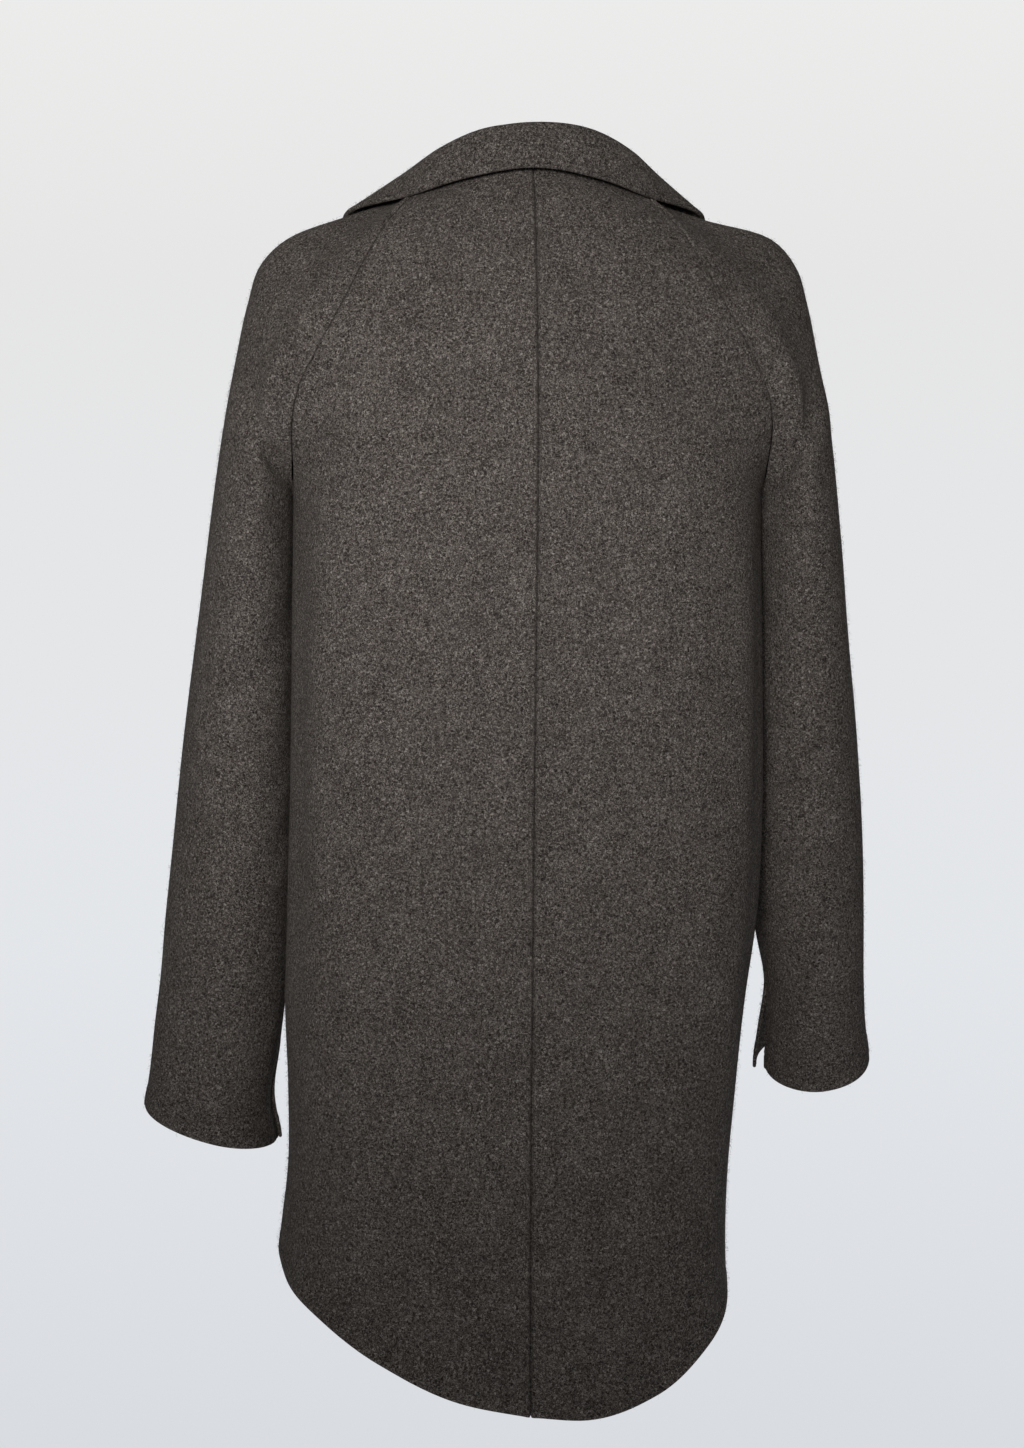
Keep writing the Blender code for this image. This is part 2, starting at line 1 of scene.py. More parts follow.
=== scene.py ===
"""The looks of a worn wool coat: thin felted panels, folded collar, lapels, stitching and buttons.

Every panel follows the same surfaces as its solid, with finer rows, pressed seams, soft folds and
a rounded edge. Metres, +Z up. The coat faces -Y and the wearer's left is +X.
"""

import math
from collections import namedtuple
from functools import partial
from itertools import product

import bmesh
import bpy
import numpy as np
from mathutils import Matrix, Vector


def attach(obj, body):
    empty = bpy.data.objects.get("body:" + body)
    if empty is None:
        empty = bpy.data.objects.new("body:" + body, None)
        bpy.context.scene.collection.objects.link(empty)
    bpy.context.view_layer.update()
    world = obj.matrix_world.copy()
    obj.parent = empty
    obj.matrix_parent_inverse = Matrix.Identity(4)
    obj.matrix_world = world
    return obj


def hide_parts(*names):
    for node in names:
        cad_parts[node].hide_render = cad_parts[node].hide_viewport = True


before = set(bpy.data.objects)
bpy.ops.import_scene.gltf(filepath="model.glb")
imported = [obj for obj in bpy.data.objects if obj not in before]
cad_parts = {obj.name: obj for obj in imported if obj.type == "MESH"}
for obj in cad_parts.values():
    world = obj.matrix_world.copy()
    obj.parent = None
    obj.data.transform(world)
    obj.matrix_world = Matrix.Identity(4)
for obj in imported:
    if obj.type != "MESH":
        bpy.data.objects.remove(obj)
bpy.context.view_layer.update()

# Sides and halves, as signs along X and Y
LEFT = 1
RIGHT = -1
BACK = 1
FRONT = -1
SIDE_NAMES = {LEFT: "left", RIGHT: "right"}
HALF_NAMES = {BACK: "back", FRONT: "front"}

# Cloth and seams
WALL = 0.0026
COLLAR_WALL = 0.0040
SEAM_GAP = 0.0003
LAYER_GAP = 0.0016
LAPEL_GAP = 0.0006

# Heights, and the share across a sleeve over which its cuff vent stands out
UNDERARM_Z = -0.265
VENT_HEIGHT = 0.085
VENT_REACH = 0.45

# Front closing
OVERLAP = 0.030
TUCK_FULL_X = 0.036
TUCK_END_X = 0.080
BUTTON_HEIGHTS = (-0.365, -0.490, -0.615)
BUTTON_RADIUS = 0.0140
BUTTON_THICKNESS = 0.0042
BUTTON_RIM = 0.0030
BUTTON_DISH = 0.0012
BUTTON_ACROSS = 0.085

# Fullness of a row's rounded ends: a share of the distance it turns through. The rounding of the
# body and the crease between body and sleeve fade out at these climbs of the raglan seam.
FULL_BODY = {BACK: 0.80, FRONT: 0.72}
FULL_FLAT = 0.36
FULL_SLEEVE = 0.56
ROUND_TOP = 0.55
CREASE_TOP = 0.42
CREASE_POWER = 1.25

# The stretch of levels below and above the underarm over which a panel bends smoothly, and the
# share across a panel over which that bend gives way to the seam at the underarm
BEND_BELOW = {"body": 0.10, "sleeve": 0.14}
BEND_ABOVE = 0.30
BEND_EDGE = 0.22

# A step for measuring directions, and numbers of points for measuring along lines
SMALL_STEP = 1e-4
SHARE_STEPS = 41
NECK_STEPS = 12
FINE_STEPS = 241


def rows_of(kind, rows):
    return tuple(kind(*values) for values in rows)


# Horizontal sections of the body, hem to underarm. Sway moves the whole section towards +X, and
# seam is where the middle of the back and of the front lies.
Section = namedtuple("Section", "z half_width back front sway seam")
BODY = rows_of(Section, (
    (-0.990, 0.180, 0.131, 0.140, 0.022, 0.0075),
    (-0.900, 0.179, 0.129, 0.141, 0.021, 0.0072),
    (-0.850, 0.177, 0.128, 0.141, 0.020, 0.0070),
    (-0.790, 0.175, 0.126, 0.142, 0.0155, 0.0065),
    (-0.730, 0.178, 0.125, 0.142, 0.0125, 0.0060),
    (-0.660, 0.183, 0.124, 0.142, 0.010, 0.0050),
    (-0.600, 0.186, 0.123, 0.142, 0.005, 0.0045),
    (-0.500, 0.187, 0.122, 0.142, 0.001, 0.0035),
    (-0.400, 0.187, 0.121, 0.140, 0.000, 0.0020),
    (-0.265, 0.186, 0.118, 0.130, 0.000, 0.0000),
))

# Hem height from the middle of a panel (0) round to its side seam (1)
Hem = namedtuple("Hem", "across back_left back_right front_left front_right")
HEM = rows_of(Hem, (
    (0.00, -0.971, -0.971, -0.935, -0.940),
    (0.12, -0.961, -0.974, -0.934, -0.940),
    (0.32, -0.931, -0.957, -0.926, -0.934),
    (0.54, -0.899, -0.926, -0.906, -0.918),
    (0.75, -0.8775, -0.903, -0.882, -0.900),
    (0.89, -0.8625, -0.8885, -0.8635, -0.8885),
    (1.00, -0.858, -0.885, -0.858, -0.885),
))

# Seams and ridges of the left shoulder, from the underarm (climb 0) to the neckline (climb 1). The
# four along the sleeve have their points at the same climbs.
Point = namedtuple("Point", "climb x y z")
CLIMBS = (0.00, 0.10, 0.22, 0.36, 0.50, 0.65, 0.80, 0.90, 1.00)


def climbing(places):
    return tuple(Point(climb, *place) for climb, place in zip(CLIMBS, places))


CENTRE_BACK = rows_of(Point, (
    (0.00, 0.000, 0.1180, -0.265),
    (0.25, 0.000, 0.1175, -0.200),
    (0.50, 0.000, 0.1120, -0.135),
    (0.75, 0.000, 0.0970, -0.066),
    (0.90, 0.000, 0.0810, -0.025),
    (1.00, 0.000, 0.0660, 0.000),
))
BACK_RAGLAN = climbing((
    (0.186, 0.000, -0.265),
    (0.1885, 0.036, -0.243),
    (0.1905, 0.061, -0.214),
    (0.1850, 0.077, -0.181),
    (0.169, 0.086, -0.147),
    (0.150, 0.084, -0.112),
    (0.131, 0.072, -0.074),
    (0.113, 0.055, -0.044),
    (0.084, 0.028, -0.013),
))
SLEEVE_BACK = climbing((
    (0.218, 0.069, -0.265),
    (0.218, 0.0705, -0.241),
    (0.2155, 0.073, -0.208),
    (0.208, 0.0745, -0.170),
    (0.194, 0.071, -0.131),
    (0.180, 0.060, -0.096),
    (0.157, 0.045, -0.066),
    (0.124, 0.033, -0.042),
    (0.084, 0.012, -0.0135),
))
Overarm = namedtuple("Overarm", "climb y left_x left_z right_x right_z")
OVERARMS = rows_of(Overarm, (
    (0.00, -0.002, 0.2500, -0.265, 0.2500, -0.265),
    (0.20, -0.002, 0.2420, -0.208, 0.2420, -0.208),
    (0.40, -0.002, 0.2315, -0.150, 0.2330, -0.150),
    (0.55, -0.001, 0.2220, -0.106, 0.2255, -0.105),
    (0.66, 0.000, 0.2120, -0.076, 0.2165, -0.074),
    (0.76, 0.000, 0.1895, -0.0545, 0.1955, -0.0510),
    (0.88, -0.002, 0.1400, -0.0355, 0.1400, -0.0358),
    (1.00, -0.004, 0.0830, -0.0155, 0.0830, -0.0155),
))
OVERARM = {
    LEFT: tuple(Point(at.climb, at.left_x, at.y, at.left_z) for at in OVERARMS),
    RIGHT: tuple(Point(at.climb, at.right_x, at.y, at.right_z) for at in OVERARMS),
}
SLEEVE_FRONT = climbing((
    (0.218, -0.073, -0.265),
    (0.217, -0.0745, -0.240),
    (0.212, -0.076, -0.206),
    (0.203, -0.077, -0.168),
    (0.190, -0.073, -0.131),
    (0.176, -0.062, -0.098),
    (0.152, -0.049, -0.069),
    (0.119, -0.040, -0.049),
    (0.080, -0.025, -0.024),
))
FRONT_RAGLAN = climbing((
    (0.186, 0.000, -0.265),
    (0.1820, -0.040, -0.243),
    (0.1740, -0.069, -0.212),
    (0.168, -0.089, -0.178),
    (0.152, -0.095, -0.147),
    (0.136, -0.091, -0.114),
    (0.117, -0.079, -0.080),
    (0.099, -0.064, -0.056),
    (0.075, -0.043, -0.035),
))
FRONT_ROLL = rows_of(Point, (
    (0.00, -0.003, -0.130, -0.265),
    (0.35, 0.020, -0.122, -0.202),
    (0.70, 0.043, -0.106, -0.139),
    (1.00, 0.062, -0.082, -0.085),
))

# Rings of the sleeves, cuff to underarm. Gap is the clearance to the body's side, slant is how
# much the outer edge is raised and pitch how much the front is raised, each as a slope.
Ring = namedtuple("Ring", "z outer gap y depth slant pitch")
ARMS = {
    LEFT: rows_of(Ring, (
        (-0.760, 0.3045, 0.0120, -0.046, 0.053, 0.27, 0.26),
        (-0.730, 0.3005, 0.0150, -0.043, 0.052, 0.21, 0.22),
        (-0.690, 0.2965, 0.0050, -0.040, 0.053, 0.16, 0.17),
        (-0.650, 0.2920, -0.0010, -0.038, 0.055, 0.10, 0.13),
        (-0.600, 0.2880, -0.0014, -0.036, 0.057, 0.07, 0.09),
        (-0.550, 0.2830, -0.0014, -0.035, 0.059, 0.05, 0.05),
        (-0.450, 0.2730, -0.0016, -0.033, 0.063, 0.02, 0.00),
        (-0.345, 0.2600, -0.0011, -0.026, 0.0675, 0.00, 0.00),
        (-0.265, 0.2500, 0.0000, -0.002, 0.071, 0.00, 0.00),
    )),
    RIGHT: rows_of(Ring, (
        (-0.717, 0.2900, 0.0400, -0.082, 0.052, 0.16, 0.48),
        (-0.690, 0.2860, 0.0360, -0.074, 0.052, 0.15, 0.40),
        (-0.655, 0.2830, 0.0300, -0.064, 0.054, 0.12, 0.30),
        (-0.600, 0.2810, 0.0110, -0.052, 0.057, 0.08, 0.20),
        (-0.550, 0.2790, 0.0006, -0.044, 0.059, 0.05, 0.14),
        (-0.450, 0.2720, -0.0016, -0.034, 0.063, 0.02, 0.05),
        (-0.345, 0.2605, -0.0011, -0.026, 0.0675, 0.00, 0.00),
        (-0.265, 0.2500, 0.0000, -0.002, 0.071, 0.00, 0.00),
    )),
}

# The power by which a sleeve's inner seam comes to the body's side seam at the underarm
INNER_POWER = 16

# How far the two edges of each cuff vent stand out from the sleeve
VENT_FLARE = {
    (LEFT, BACK): 0.003,
    (LEFT, FRONT): 0.006,
    (RIGHT, BACK): 0.002,
    (RIGHT, FRONT): 0.011,
}

# Sections of the left half of the collar, centre back (0) to the end of the gorge (1). The first
# row mirrors the third, so that the curve runs level through the centre back.
Fold = namedtuple("Fold", "share fold_x fold_y fold_z edge_x edge_y edge_z")
COLLAR = rows_of(Fold, (
    (-0.20, -0.0455, 0.0575, 0.0255, -0.055, 0.0680, -0.0125),
    (0.00, 0.0000, 0.0690, 0.0300, 0.000, 0.0815, -0.0055),
    (0.20, 0.0455, 0.0575, 0.0255, 0.055, 0.0680, -0.0125),
    (0.36, 0.0780, 0.0360, 0.0120, 0.097, 0.0430, -0.0230),
    (0.52, 0.0925, 0.0000, -0.0010, 0.138, 0.0050, -0.0285),
    (0.60, 0.0965, -0.0190, -0.0060, 0.145, -0.0140, -0.0325),
    (0.70, 0.0955, -0.0410, -0.0155, 0.146, -0.0390, -0.0465),
    (0.84, 0.0850, -0.0660, -0.0370, 0.137, -0.0680, -0.0650),
    (1.00, 0.0670, -0.0900, -0.0770, 0.120, -0.0960, -0.0920),
))

# The collar's ends lean in from a share of its length on. The stand takes a share of its cut, and
# stand and fall have their own directions and fullness.
COLLAR_LEAN = -0.0045
COLLAR_LEAN_FROM = 0.7
COLLAR_LIFT = 0.0020
COLLAR_STAND = 0.4
STAND_RISE = 0.04
FALL_TUCK = 0.006
FULL_STAND = (0.55, 0.55)
FULL_FALL = (0.28, 0.30)

# Lapel width from the roll line, from its start (0) to its top edge (1)
Lapel = namedtuple("Lapel", "rise width")
LAPEL = rows_of(Lapel, (
    (0.00, 0.004),
    (0.30, 0.028),
    (0.60, 0.054),
    (0.85, 0.072),
    (1.00, 0.080),
))
LAPEL_TOP_DROP = 0.36
LAPEL_START = {LEFT: 1.07, RIGHT: 0.882}
LAPEL_TOP = 1.965


# Curves

def vec(x, y, z):
    return np.stack(np.broadcast_arrays(x, y, z), axis=-1).astype(float)


def unit(v):
    return v / np.linalg.norm(v, axis=-1, keepdims=True)


def run_lengths(points, axis):
    """Distance along a grid's lines from their first point."""
    parts = np.linalg.norm(np.diff(points, axis=axis), axis=-1)
    first = np.zeros_like(np.take(parts, [0], axis=axis))
    return np.concatenate([first, np.cumsum(parts, axis=axis)], axis=axis)


def smooth(table, column, at):
    """A column of a table, on a smooth curve through its rows, at any value of the first column."""
    keys = np.array([row[0] for row in table])
    values = np.array([getattr(row, column) for row in table])
    slopes = np.gradient(values, keys)
    at = np.clip(at, keys[0], keys[-1])
    i = np.clip(np.searchsorted(keys, at, side="right") - 1, 0, len(keys) - 2)
    span = keys[i + 1] - keys[i]
    t = (at - keys[i]) / span
    ease = t * t * (3 - 2 * t)
    bend = t * (1 - t) * span * (slopes[i] * (1 - t) - slopes[i + 1] * t)
    return values[i] + (values[i + 1] - values[i]) * ease + bend


def point(table, climb):
    return vec(*(smooth(table, axis, climb) for axis in "xyz"))


def fade(value, full, end):
    """1 at full, 0 at end and beyond, eased between them."""
    t = np.clip((value - end) / (full - end), 0, 1)
    return t * t * (3 - 2 * t)


def cubic(start, first, second, finish, t):
    s = 1 - t
    return s**3 * start + 3 * s * s * t * first + 3 * s * t * t * second + t**3 * finish


def row(start, leave, finish, arrive, full, t):
    """Points on a curve from start to finish that leaves and arrives along the two directions.

    full is a pair: how far each end runs on in its direction, as a share of the distance.
    """
    t = np.asarray(t)[..., None]
    out, back = (np.asarray(share)[..., None] for share in full)
    chord = finish - start
    first = start + leave * out * np.abs((chord * leave).sum(-1, keepdims=True))
    second = finish - arrive * back * np.abs((chord * arrive).sum(-1, keepdims=True))
    return cubic(start, first, second, finish, t)


# Body and sleeve surfaces of the left side, at their outer face

def front_edge_x(z):
    """The front edge: past the middle below the break, and on the lapel's roll line above it."""
    lowest, highest = FRONT_ROLL[0], FRONT_ROLL[-1]
    slope = (highest.x - lowest.x) / (highest.z - lowest.z)
    return np.maximum(-OVERLAP, lowest.x + slope * (z - lowest.z))


def lower_body(side, half, across, rise):
    hem = smooth(HEM, f"{HALF_NAMES[half]}_{SIDE_NAMES[side]}", across)
    z = hem + rise * (UNDERARM_Z - hem)
    sway = side * smooth(BODY, "sway", z)
    middle = vec(side * smooth(BODY, "seam", z), half * smooth(BODY, HALF_NAMES[half], z), z)
    edge = vec(smooth(BODY, "half_width", z) + sway, 0, z)
    full = FULL_BODY[half]
    first = 0 * z
    if half == FRONT:
        first = front_edge_x(z) / (3 * full * (edge - middle)[..., 0])
    place = first + (1 - first) * across
    points = row(middle, vec(1, 0, 0), edge, vec(0, -half, 0), (full, full), np.abs(place))
    past_middle = place < 0
    points[..., 0] = np.where(past_middle, 2 * middle[..., 0] - points[..., 0], points[..., 0])
    return points


def shoulder(half, climb):
    """The seams and the directions across them that a row of the shoulder passes through."""
    back = half == BACK
    middle = point(CENTRE_BACK if back else FRONT_ROLL, climb)
    raglan = point(BACK_RAGLAN if back else FRONT_RAGLAN, climb)
    ridge = point(SLEEVE_BACK if back else SLEEVE_FRONT, climb)
    crease = (np.clip(1 - climb / CREASE_TOP, 0, 1) ** CREASE_POWER)[..., None]
    along = unit(ridge - middle) * (1 - crease)
    into = unit(along + crease * vec(0, -half, 0))
    out_of = unit(along + crease * vec(0, half, 0))
    more = FULL_BODY[half] - FULL_FLAT
    rounding = np.clip(1 - climb / ROUND_TOP, 0, 1) ** CREASE_POWER
    full = (FULL_FLAT + more * rounding, FULL_FLAT + more * rounding**3)
    return middle, raglan, ridge, into, out_of, full


def upper_body(half, across, climb):
    middle, raglan, _, into, _, full = shoulder(half, climb)
    return row(middle, vec(1, 0, 0), raglan, into, full, across)


def bend(surface, across, level, below, weight):
    """The surface with one smooth bend over the underarm level, as far as weight says."""
    across, level = np.broadcast_arrays(across, level)
    low, high = 1 - below, 1 + BEND_ABOVE
    start, middle, finish = (surface(across, place + 0 * across) for place in (low, 1.0, high))
    leave = unit(start - surface(across, low - SMALL_STEP + 0 * across))
    arrive = unit(surface(across, high + SMALL_STEP + 0 * across) - finish)
    run = np.linalg.norm(middle - start, axis=-1)
    turn = run / (run + np.linalg.norm(finish - middle, axis=-1))
    rising = turn * (level - low) / (1 - low)
    closing = turn + (1 - turn) * (level - 1) / (high - 1)
    t = np.clip(np.where(level < 1, rising, closing), 0, 1)
    chord = np.linalg.norm(finish - start, axis=-1, keepdims=True) / 3
    curve = cubic(start, start + leave * chord, finish - arrive * chord, finish, t[..., None])
    weight = np.where((level > low) & (level < high), weight, 0)[..., None]
    return surface(across, level) * (1 - weight) + curve * weight


def body(side, half, across, level):
    """Level 0 is the hem, 1 the underarm and 2 the neckline."""

    def plain(a, b):
        low = lower_body(side, half, a, np.clip(b, 0, 1))
        high = upper_body(half, a, np.clip(b - 1, 0, 1))
        return np.where((b <= 1)[..., None], low, high)

    points = bend(plain, across, level, BEND_BELOW["body"], fade(across, 1 - BEND_EDGE, 1))
    if half == FRONT and side == LEFT:
        points[..., 1] += (WALL + LAYER_GAP) * fade(points[..., 0], TUCK_FULL_X, TUCK_END_X)
    return points


def ring(side, rise):
    """Inner seam, outer seam and half depth of a sleeve's ring, cuff to underarm."""
    table = ARMS[side]
    z = table[0].z + rise * (UNDERARM_Z - table[0].z)
    outer_x = smooth(table, "outer", z)
    side_x = smooth(BODY, "half_width", z) + side * smooth(BODY, "sway", z)
    inner_x = side_x + smooth(table, "gap", z)
    tilt = smooth(table, "slant", z) * (outer_x - inner_x) / 2
    y = smooth(table, "y", z)
    inner = vec(inner_x, y * (1 - rise**INNER_POWER), z - tilt)
    outer = vec(outer_x, y, z + tilt)
    backward = unit(vec(0, 1, -smooth(table, "pitch", z)))
    return inner, outer, backward * smooth(table, "depth", z)[..., None]


def lower_sleeve(side, half, across, rise):
    inner, outer, backward = ring(side, rise)
    ridge = (inner + outer) / 2 + half * backward
    outward = half * unit(backward)
    return sleeve_row(inner, outward, ridge, outer, -outward, across)


def sleeve_row(inner, leave, ridge, outer, arrive, across):
    """From the inner or raglan seam over the ridge of the sleeve to the overarm seam."""
    along = unit(outer - inner)
    full = (FULL_SLEEVE, FULL_SLEEVE)
    near = row(inner, leave, ridge, along, full, np.clip(2 * across, 0, 1))
    far = row(ridge, along, outer, arrive, full, np.clip(2 * across - 1, 0, 1))
    return np.where((across <= 0.5)[..., None], near, far)


def upper_sleeve(side, half, across, climb):
    _, raglan, ridge, _, out_of, _ = shoulder(half, climb)
    over = point(OVERARM[side], climb)
    return sleeve_row(raglan, out_of, ridge, over, vec(0, -half, 0), across)


def vent(side, half, across, rise):
    """How far the inner cuff edges stand out below the top of the vent."""
    length = UNDERARM_Z - ARMS[side][0].z
    opening = fade(rise * length, 0, VENT_HEIGHT)
    return -VENT_FLARE[side, half] * opening * fade(across, 0, VENT_REACH)


def sleeve(side, half, across, level):
    """Level 0 is the cuff, 1 the underarm and 2 the neckline."""

    def plain(a, b):
        rise = np.clip(b, 0, 1)
        low = lower_sleeve(side, half, a, rise)
        low[..., 0] += vent(side, half, a, rise)
        high = upper_sleeve(side, half, a, np.clip(b - 1, 0, 1))
        return np.where((b <= 1)[..., None], low, high)

    return bend(plain, across, level, BEND_BELOW["sleeve"], fade(across, BEND_EDGE, 0))


# Pieces that lie on the panels

def normals(surface, across, level, outward):
    """Unit normals of a surface, from points a little apart; outward is 1 or -1."""
    before, after = np.clip(across - SMALL_STEP, 0, None), np.minimum(across + SMALL_STEP, 1)
    along_row = surface(after, level) - surface(before, level)
    up_panel = surface(across, level + SMALL_STEP) - surface(across, level - SMALL_STEP)
    return outward * unit(np.cross(along_row, up_panel))


def share_at(surface, level, distance):
    """How far across each row a point lies that is a distance along the cloth from its start."""
    steps = np.linspace(0, 1, SHARE_STEPS)
    runs = run_lengths(surface(steps, np.ravel(level)[:, None]), 1)
    shares = [np.interp(d, run, steps) for d, run in zip(np.ravel(distance), runs)]
    return np.reshape(shares, np.shape(level))


def lapel(side, across, rise):
    """Points of the front, moved out, between the roll line and the lapel's edge."""
    across, rise = np.broadcast_arrays(across, rise)
    top = LAPEL_TOP - LAPEL_TOP_DROP * across
    level = LAPEL_START[side] + rise * (top - LAPEL_START[side])
    front = partial(body, side, FRONT)
    share = share_at(front, level, across * smooth(LAPEL, "width", rise))
    out = normals(front, share, level, -FRONT)
    return front(share, level) + out * (WALL + LAPEL_GAP)


def neckline(share):
    """The collar seam of the left half, from the centre back to the end of the gorge."""
    t = np.linspace(0, 1, NECK_STEPS)
    top = np.full_like(t, 2.0)
    runs = (
        body(LEFT, BACK, t, top),
        sleeve(LEFT, BACK, t, top),
        sleeve(LEFT, FRONT, t[::-1], top),
        body(RIGHT, FRONT, t[::-1], top),
    )
    line = np.concatenate([run[:-1] for run in runs] + [runs[-1][-1:]])
    length = run_lengths(line, 0)
    return vec(*(np.interp(share * length[-1], length, line[:, axis]) for axis in range(3)))


def collar(across, share):
    """From the neckline (across 0) up the stand, over the fold and down to the edge (1)."""
    across, share = np.broadcast_arrays(across, share)
    mirror = np.where(share < 0, -1.0, 1.0)
    place = np.abs(share)
    fold = vec(*(smooth(COLLAR, "fold_" + axis, place) for axis in "xyz"))
    fold[..., 0] += mirror * COLLAR_LEAN * fade(place, COLLAR_LEAN_FROM, 1)
    edge = vec(*(smooth(COLLAR, "edge_" + axis, place) for axis in "xyz"))
    outward = unit((edge - fold) * np.array([1, 1, 0]))
    seam = neckline(place) + vec(0, 0, COLLAR_LIFT) - outward * COLLAR_WALL
    up = unit(fold - seam + vec(0, 0, STAND_RISE))
    down = unit(edge - fold - outward * FALL_TUCK)
    on_stand = np.clip(across / COLLAR_STAND, 0, 1)
    on_fall = np.clip((across - COLLAR_STAND) / (1 - COLLAR_STAND), 0, 1)
    stand = row(seam, up, fold, outward, FULL_STAND, on_stand)
    fall = row(fold, outward, edge, down, FULL_FALL, on_fall)
    points = np.where((across <= COLLAR_STAND)[..., None], stand, fall)
    points[..., 0] *= mirror
    return points


# Fine grids

# How an edge is sewn: a plain seam, the upper and the under side of a raglan seam, the pressed
# centre-back seam without and with a line of stitches, a stitched edge, and a hem
SEAM = "seam"
LAPPED = "lapped"
UNDER = "under"
CENTRE = "centre"
CENTRE_STITCHED = "centre_stitched"
EDGE = "edge"
HEM_EDGE = "hem"
FLAT_SEAMS = (SEAM, LAPPED, UNDER)
CENTRE_SEAMS = (CENTRE, CENTRE_STITCHED)

# Distances from a sewn seam, a stitched edge and a hem at which the cloth has a row of points, and
# which of these rows the stitches follow
SEAM_STEPS = np.array([0.0, 0.0004, 0.0009, 0.0016, 0.0028, 0.0042, 0.0050, 0.0062, 0.0090])
EDGE_STEPS = np.array([0.0, 0.0007, 0.0018, 0.0034, 0.0050, 0.0058, 0.0066, 0.0078, 0.0100])
HEM_STEPS = np.array([0.0, 0.0008, 0.0022, 0.0048, 0.0080, 0.0098, 0.0106, 0.0114, 0.0124, 0.0150])
SEAM_STITCH = 5
EDGE_STITCH = 5
HEM_STITCH = 6

# Even rows between them: distance, start above the hem, end below the underarm, and number on the
# shoulder. A line shorter than so many times the reach of its edge rows draws these together.
GRID_STEP = 0.0058
EVEN_FROM = 0.018
EVEN_TO = 0.995
SHOULDER_ROWS = 46
SHORT_LINE = 4
BODY_LENGTH = 0.66

# Rows and columns of the collar and the lapels, and the lines that their stitches follow
COLLAR_ROWS = 190
COLLAR_STEP = 0.0032
COLLAR_SEAM_STEPS = SEAM_STEPS[:5]
COLLAR_DRAPE = 0.5
LAPEL_ROWS = 60
LAPEL_COLUMNS = 34
LAPEL_STITCH = (slice(4, None), -3)

# Relief of the sewing: height, distance from the edge and width of each swell or dip
STITCH_DEPTH = 0.00040
STITCH_WIDTH = 0.0012
CENTRE_RELIEF = ((-0.0019, 0, 0.0008), (0.0007, 0.0030, 0.0020))
RELIEF = {
    SEAM: ((-0.0015, 0, 0.0010), (0.0006, 0.0023, 0.0016)),
    LAPPED: ((0.0010, 0.0010, 0.0018),),
    UNDER: ((-0.0017, 0, 0.0019),),
    CENTRE: CENTRE_RELIEF,
    CENTRE_STITCHED: (*CENTRE_RELIEF, (-STITCH_DEPTH, SEAM_STEPS[SEAM_STITCH], STITCH_WIDTH)),
    EDGE: ((-STITCH_DEPTH, EDGE_STEPS[EDGE_STITCH], STITCH_WIDTH),),
    HEM_EDGE: ((-STITCH_DEPTH, HEM_STEPS[HEM_STITCH], STITCH_WIDTH),),
}
HEM_SWELL = 0.0007
HEM_TURN = 0.0125
HEM_FADE = 0.0040

# A rounded rim: how far it stands out, in walls, then the places of its three lines through the
# wall with their shares of that. The two rims of the centre-back seam just overlap.
LIP = 0.46
RIM = ((0.75, 0.7), (0.0, 1.0), (-0.75, 0.7))
CENTRE_TOUCH = 0.0002

# Thread
STITCH_PITCH = 0.0036
STITCH_GAP = 0.0007
STITCH_START = 0.0005
STITCH_LIFT = np.array([-0.00030, 0.00012, 0.00020, 0.00012, -0.00030])
THREAD_RADIUS = 0.00022
THREAD_SIDES = 5

# Loose fibres on the face of the cloth: number on a square metre, ranges of length and lift, depth
# of the root, curl, and shares of length and lift at the middle and of lift at the tip
FIBRES = 36000
FIBRE_LENGTH = (0.0018, 0.0056)
FIBRE_LIFT = (0.0003, 0.0030)
FIBRE_HALF_WIDTH = 0.000051
FIBRE_ROOT = 0.0002
FIBRE_CURL = 0.25
FIBRE_MIDDLE = (0.5, 0.75)
FIBRE_TIP = (0.3, 1.5)
BODY_SEED = 1
SLEEVE_SEED = 11
COLLAR_SEED = 41
LAPEL_SEED = 50

# Soft folds, each a line on its panel from one place to another: run is the distance across from
# the first edge and climb the distance up from the level of the underarm. Depth is inward.
Crease = namedtuple("Crease", "run climb to_run to_climb width depth")
BODY_CREASES = {
    BACK: rows_of(Crease, (
        (0.206, 0.060, 0.212, -0.460, 0.020, 0.0034),
        (0.150, 0.030, 0.165, -0.330, 0.026, 0.0014),
        (0.085, -0.100, 0.095, -0.540, 0.030, 0.0010),
    )),
    FRONT: rows_of(Crease, (
        (0.215, -0.020, 0.135, -0.180, 0.018, 0.0022),
        (0.225, -0.100, 0.180, -0.360, 0.020, 0.0018),
        (0.110, -0.230, 0.120, -0.560, 0.028, 0.0012),
    )),
}
SLEEVE_CREASES = {
    BACK: rows_of(Crease, (
        (0.050, 0.110, 0.008, 0.026, 0.015, 0.0050),
        (0.015, -0.073, 0.100, -0.163, 0.014, 0.0018),
        (0.020, -0.193, 0.090, -0.253, 0.012, 0.0016),
        (0.015, -0.248, 0.080, -0.318, 0.012, 0.0014),
    )),
    FRONT: rows_of(Crease, (
        (0.010, -0.013, 0.080, -0.063, 0.012, 0.0022),
        (0.015, -0.163, 0.095, -0.208, 0.011, 0.0024),
        (0.015, -0.203, 0.085, -0.268, 0.012, 0.0020),
        (0.020, -0.258, 0.070, -0.313, 0.012, 0.0014),
    )),
}

# Shares of a fold's line, from its middle, where it is full and where it ends, and the height and
# the distance of the low ridges beside it, in depths and widths
CREASE_FULL = 0.10
CREASE_END = 0.62
RIDGE_SHARE = 0.45
RIDGE_ASIDE = 1.9

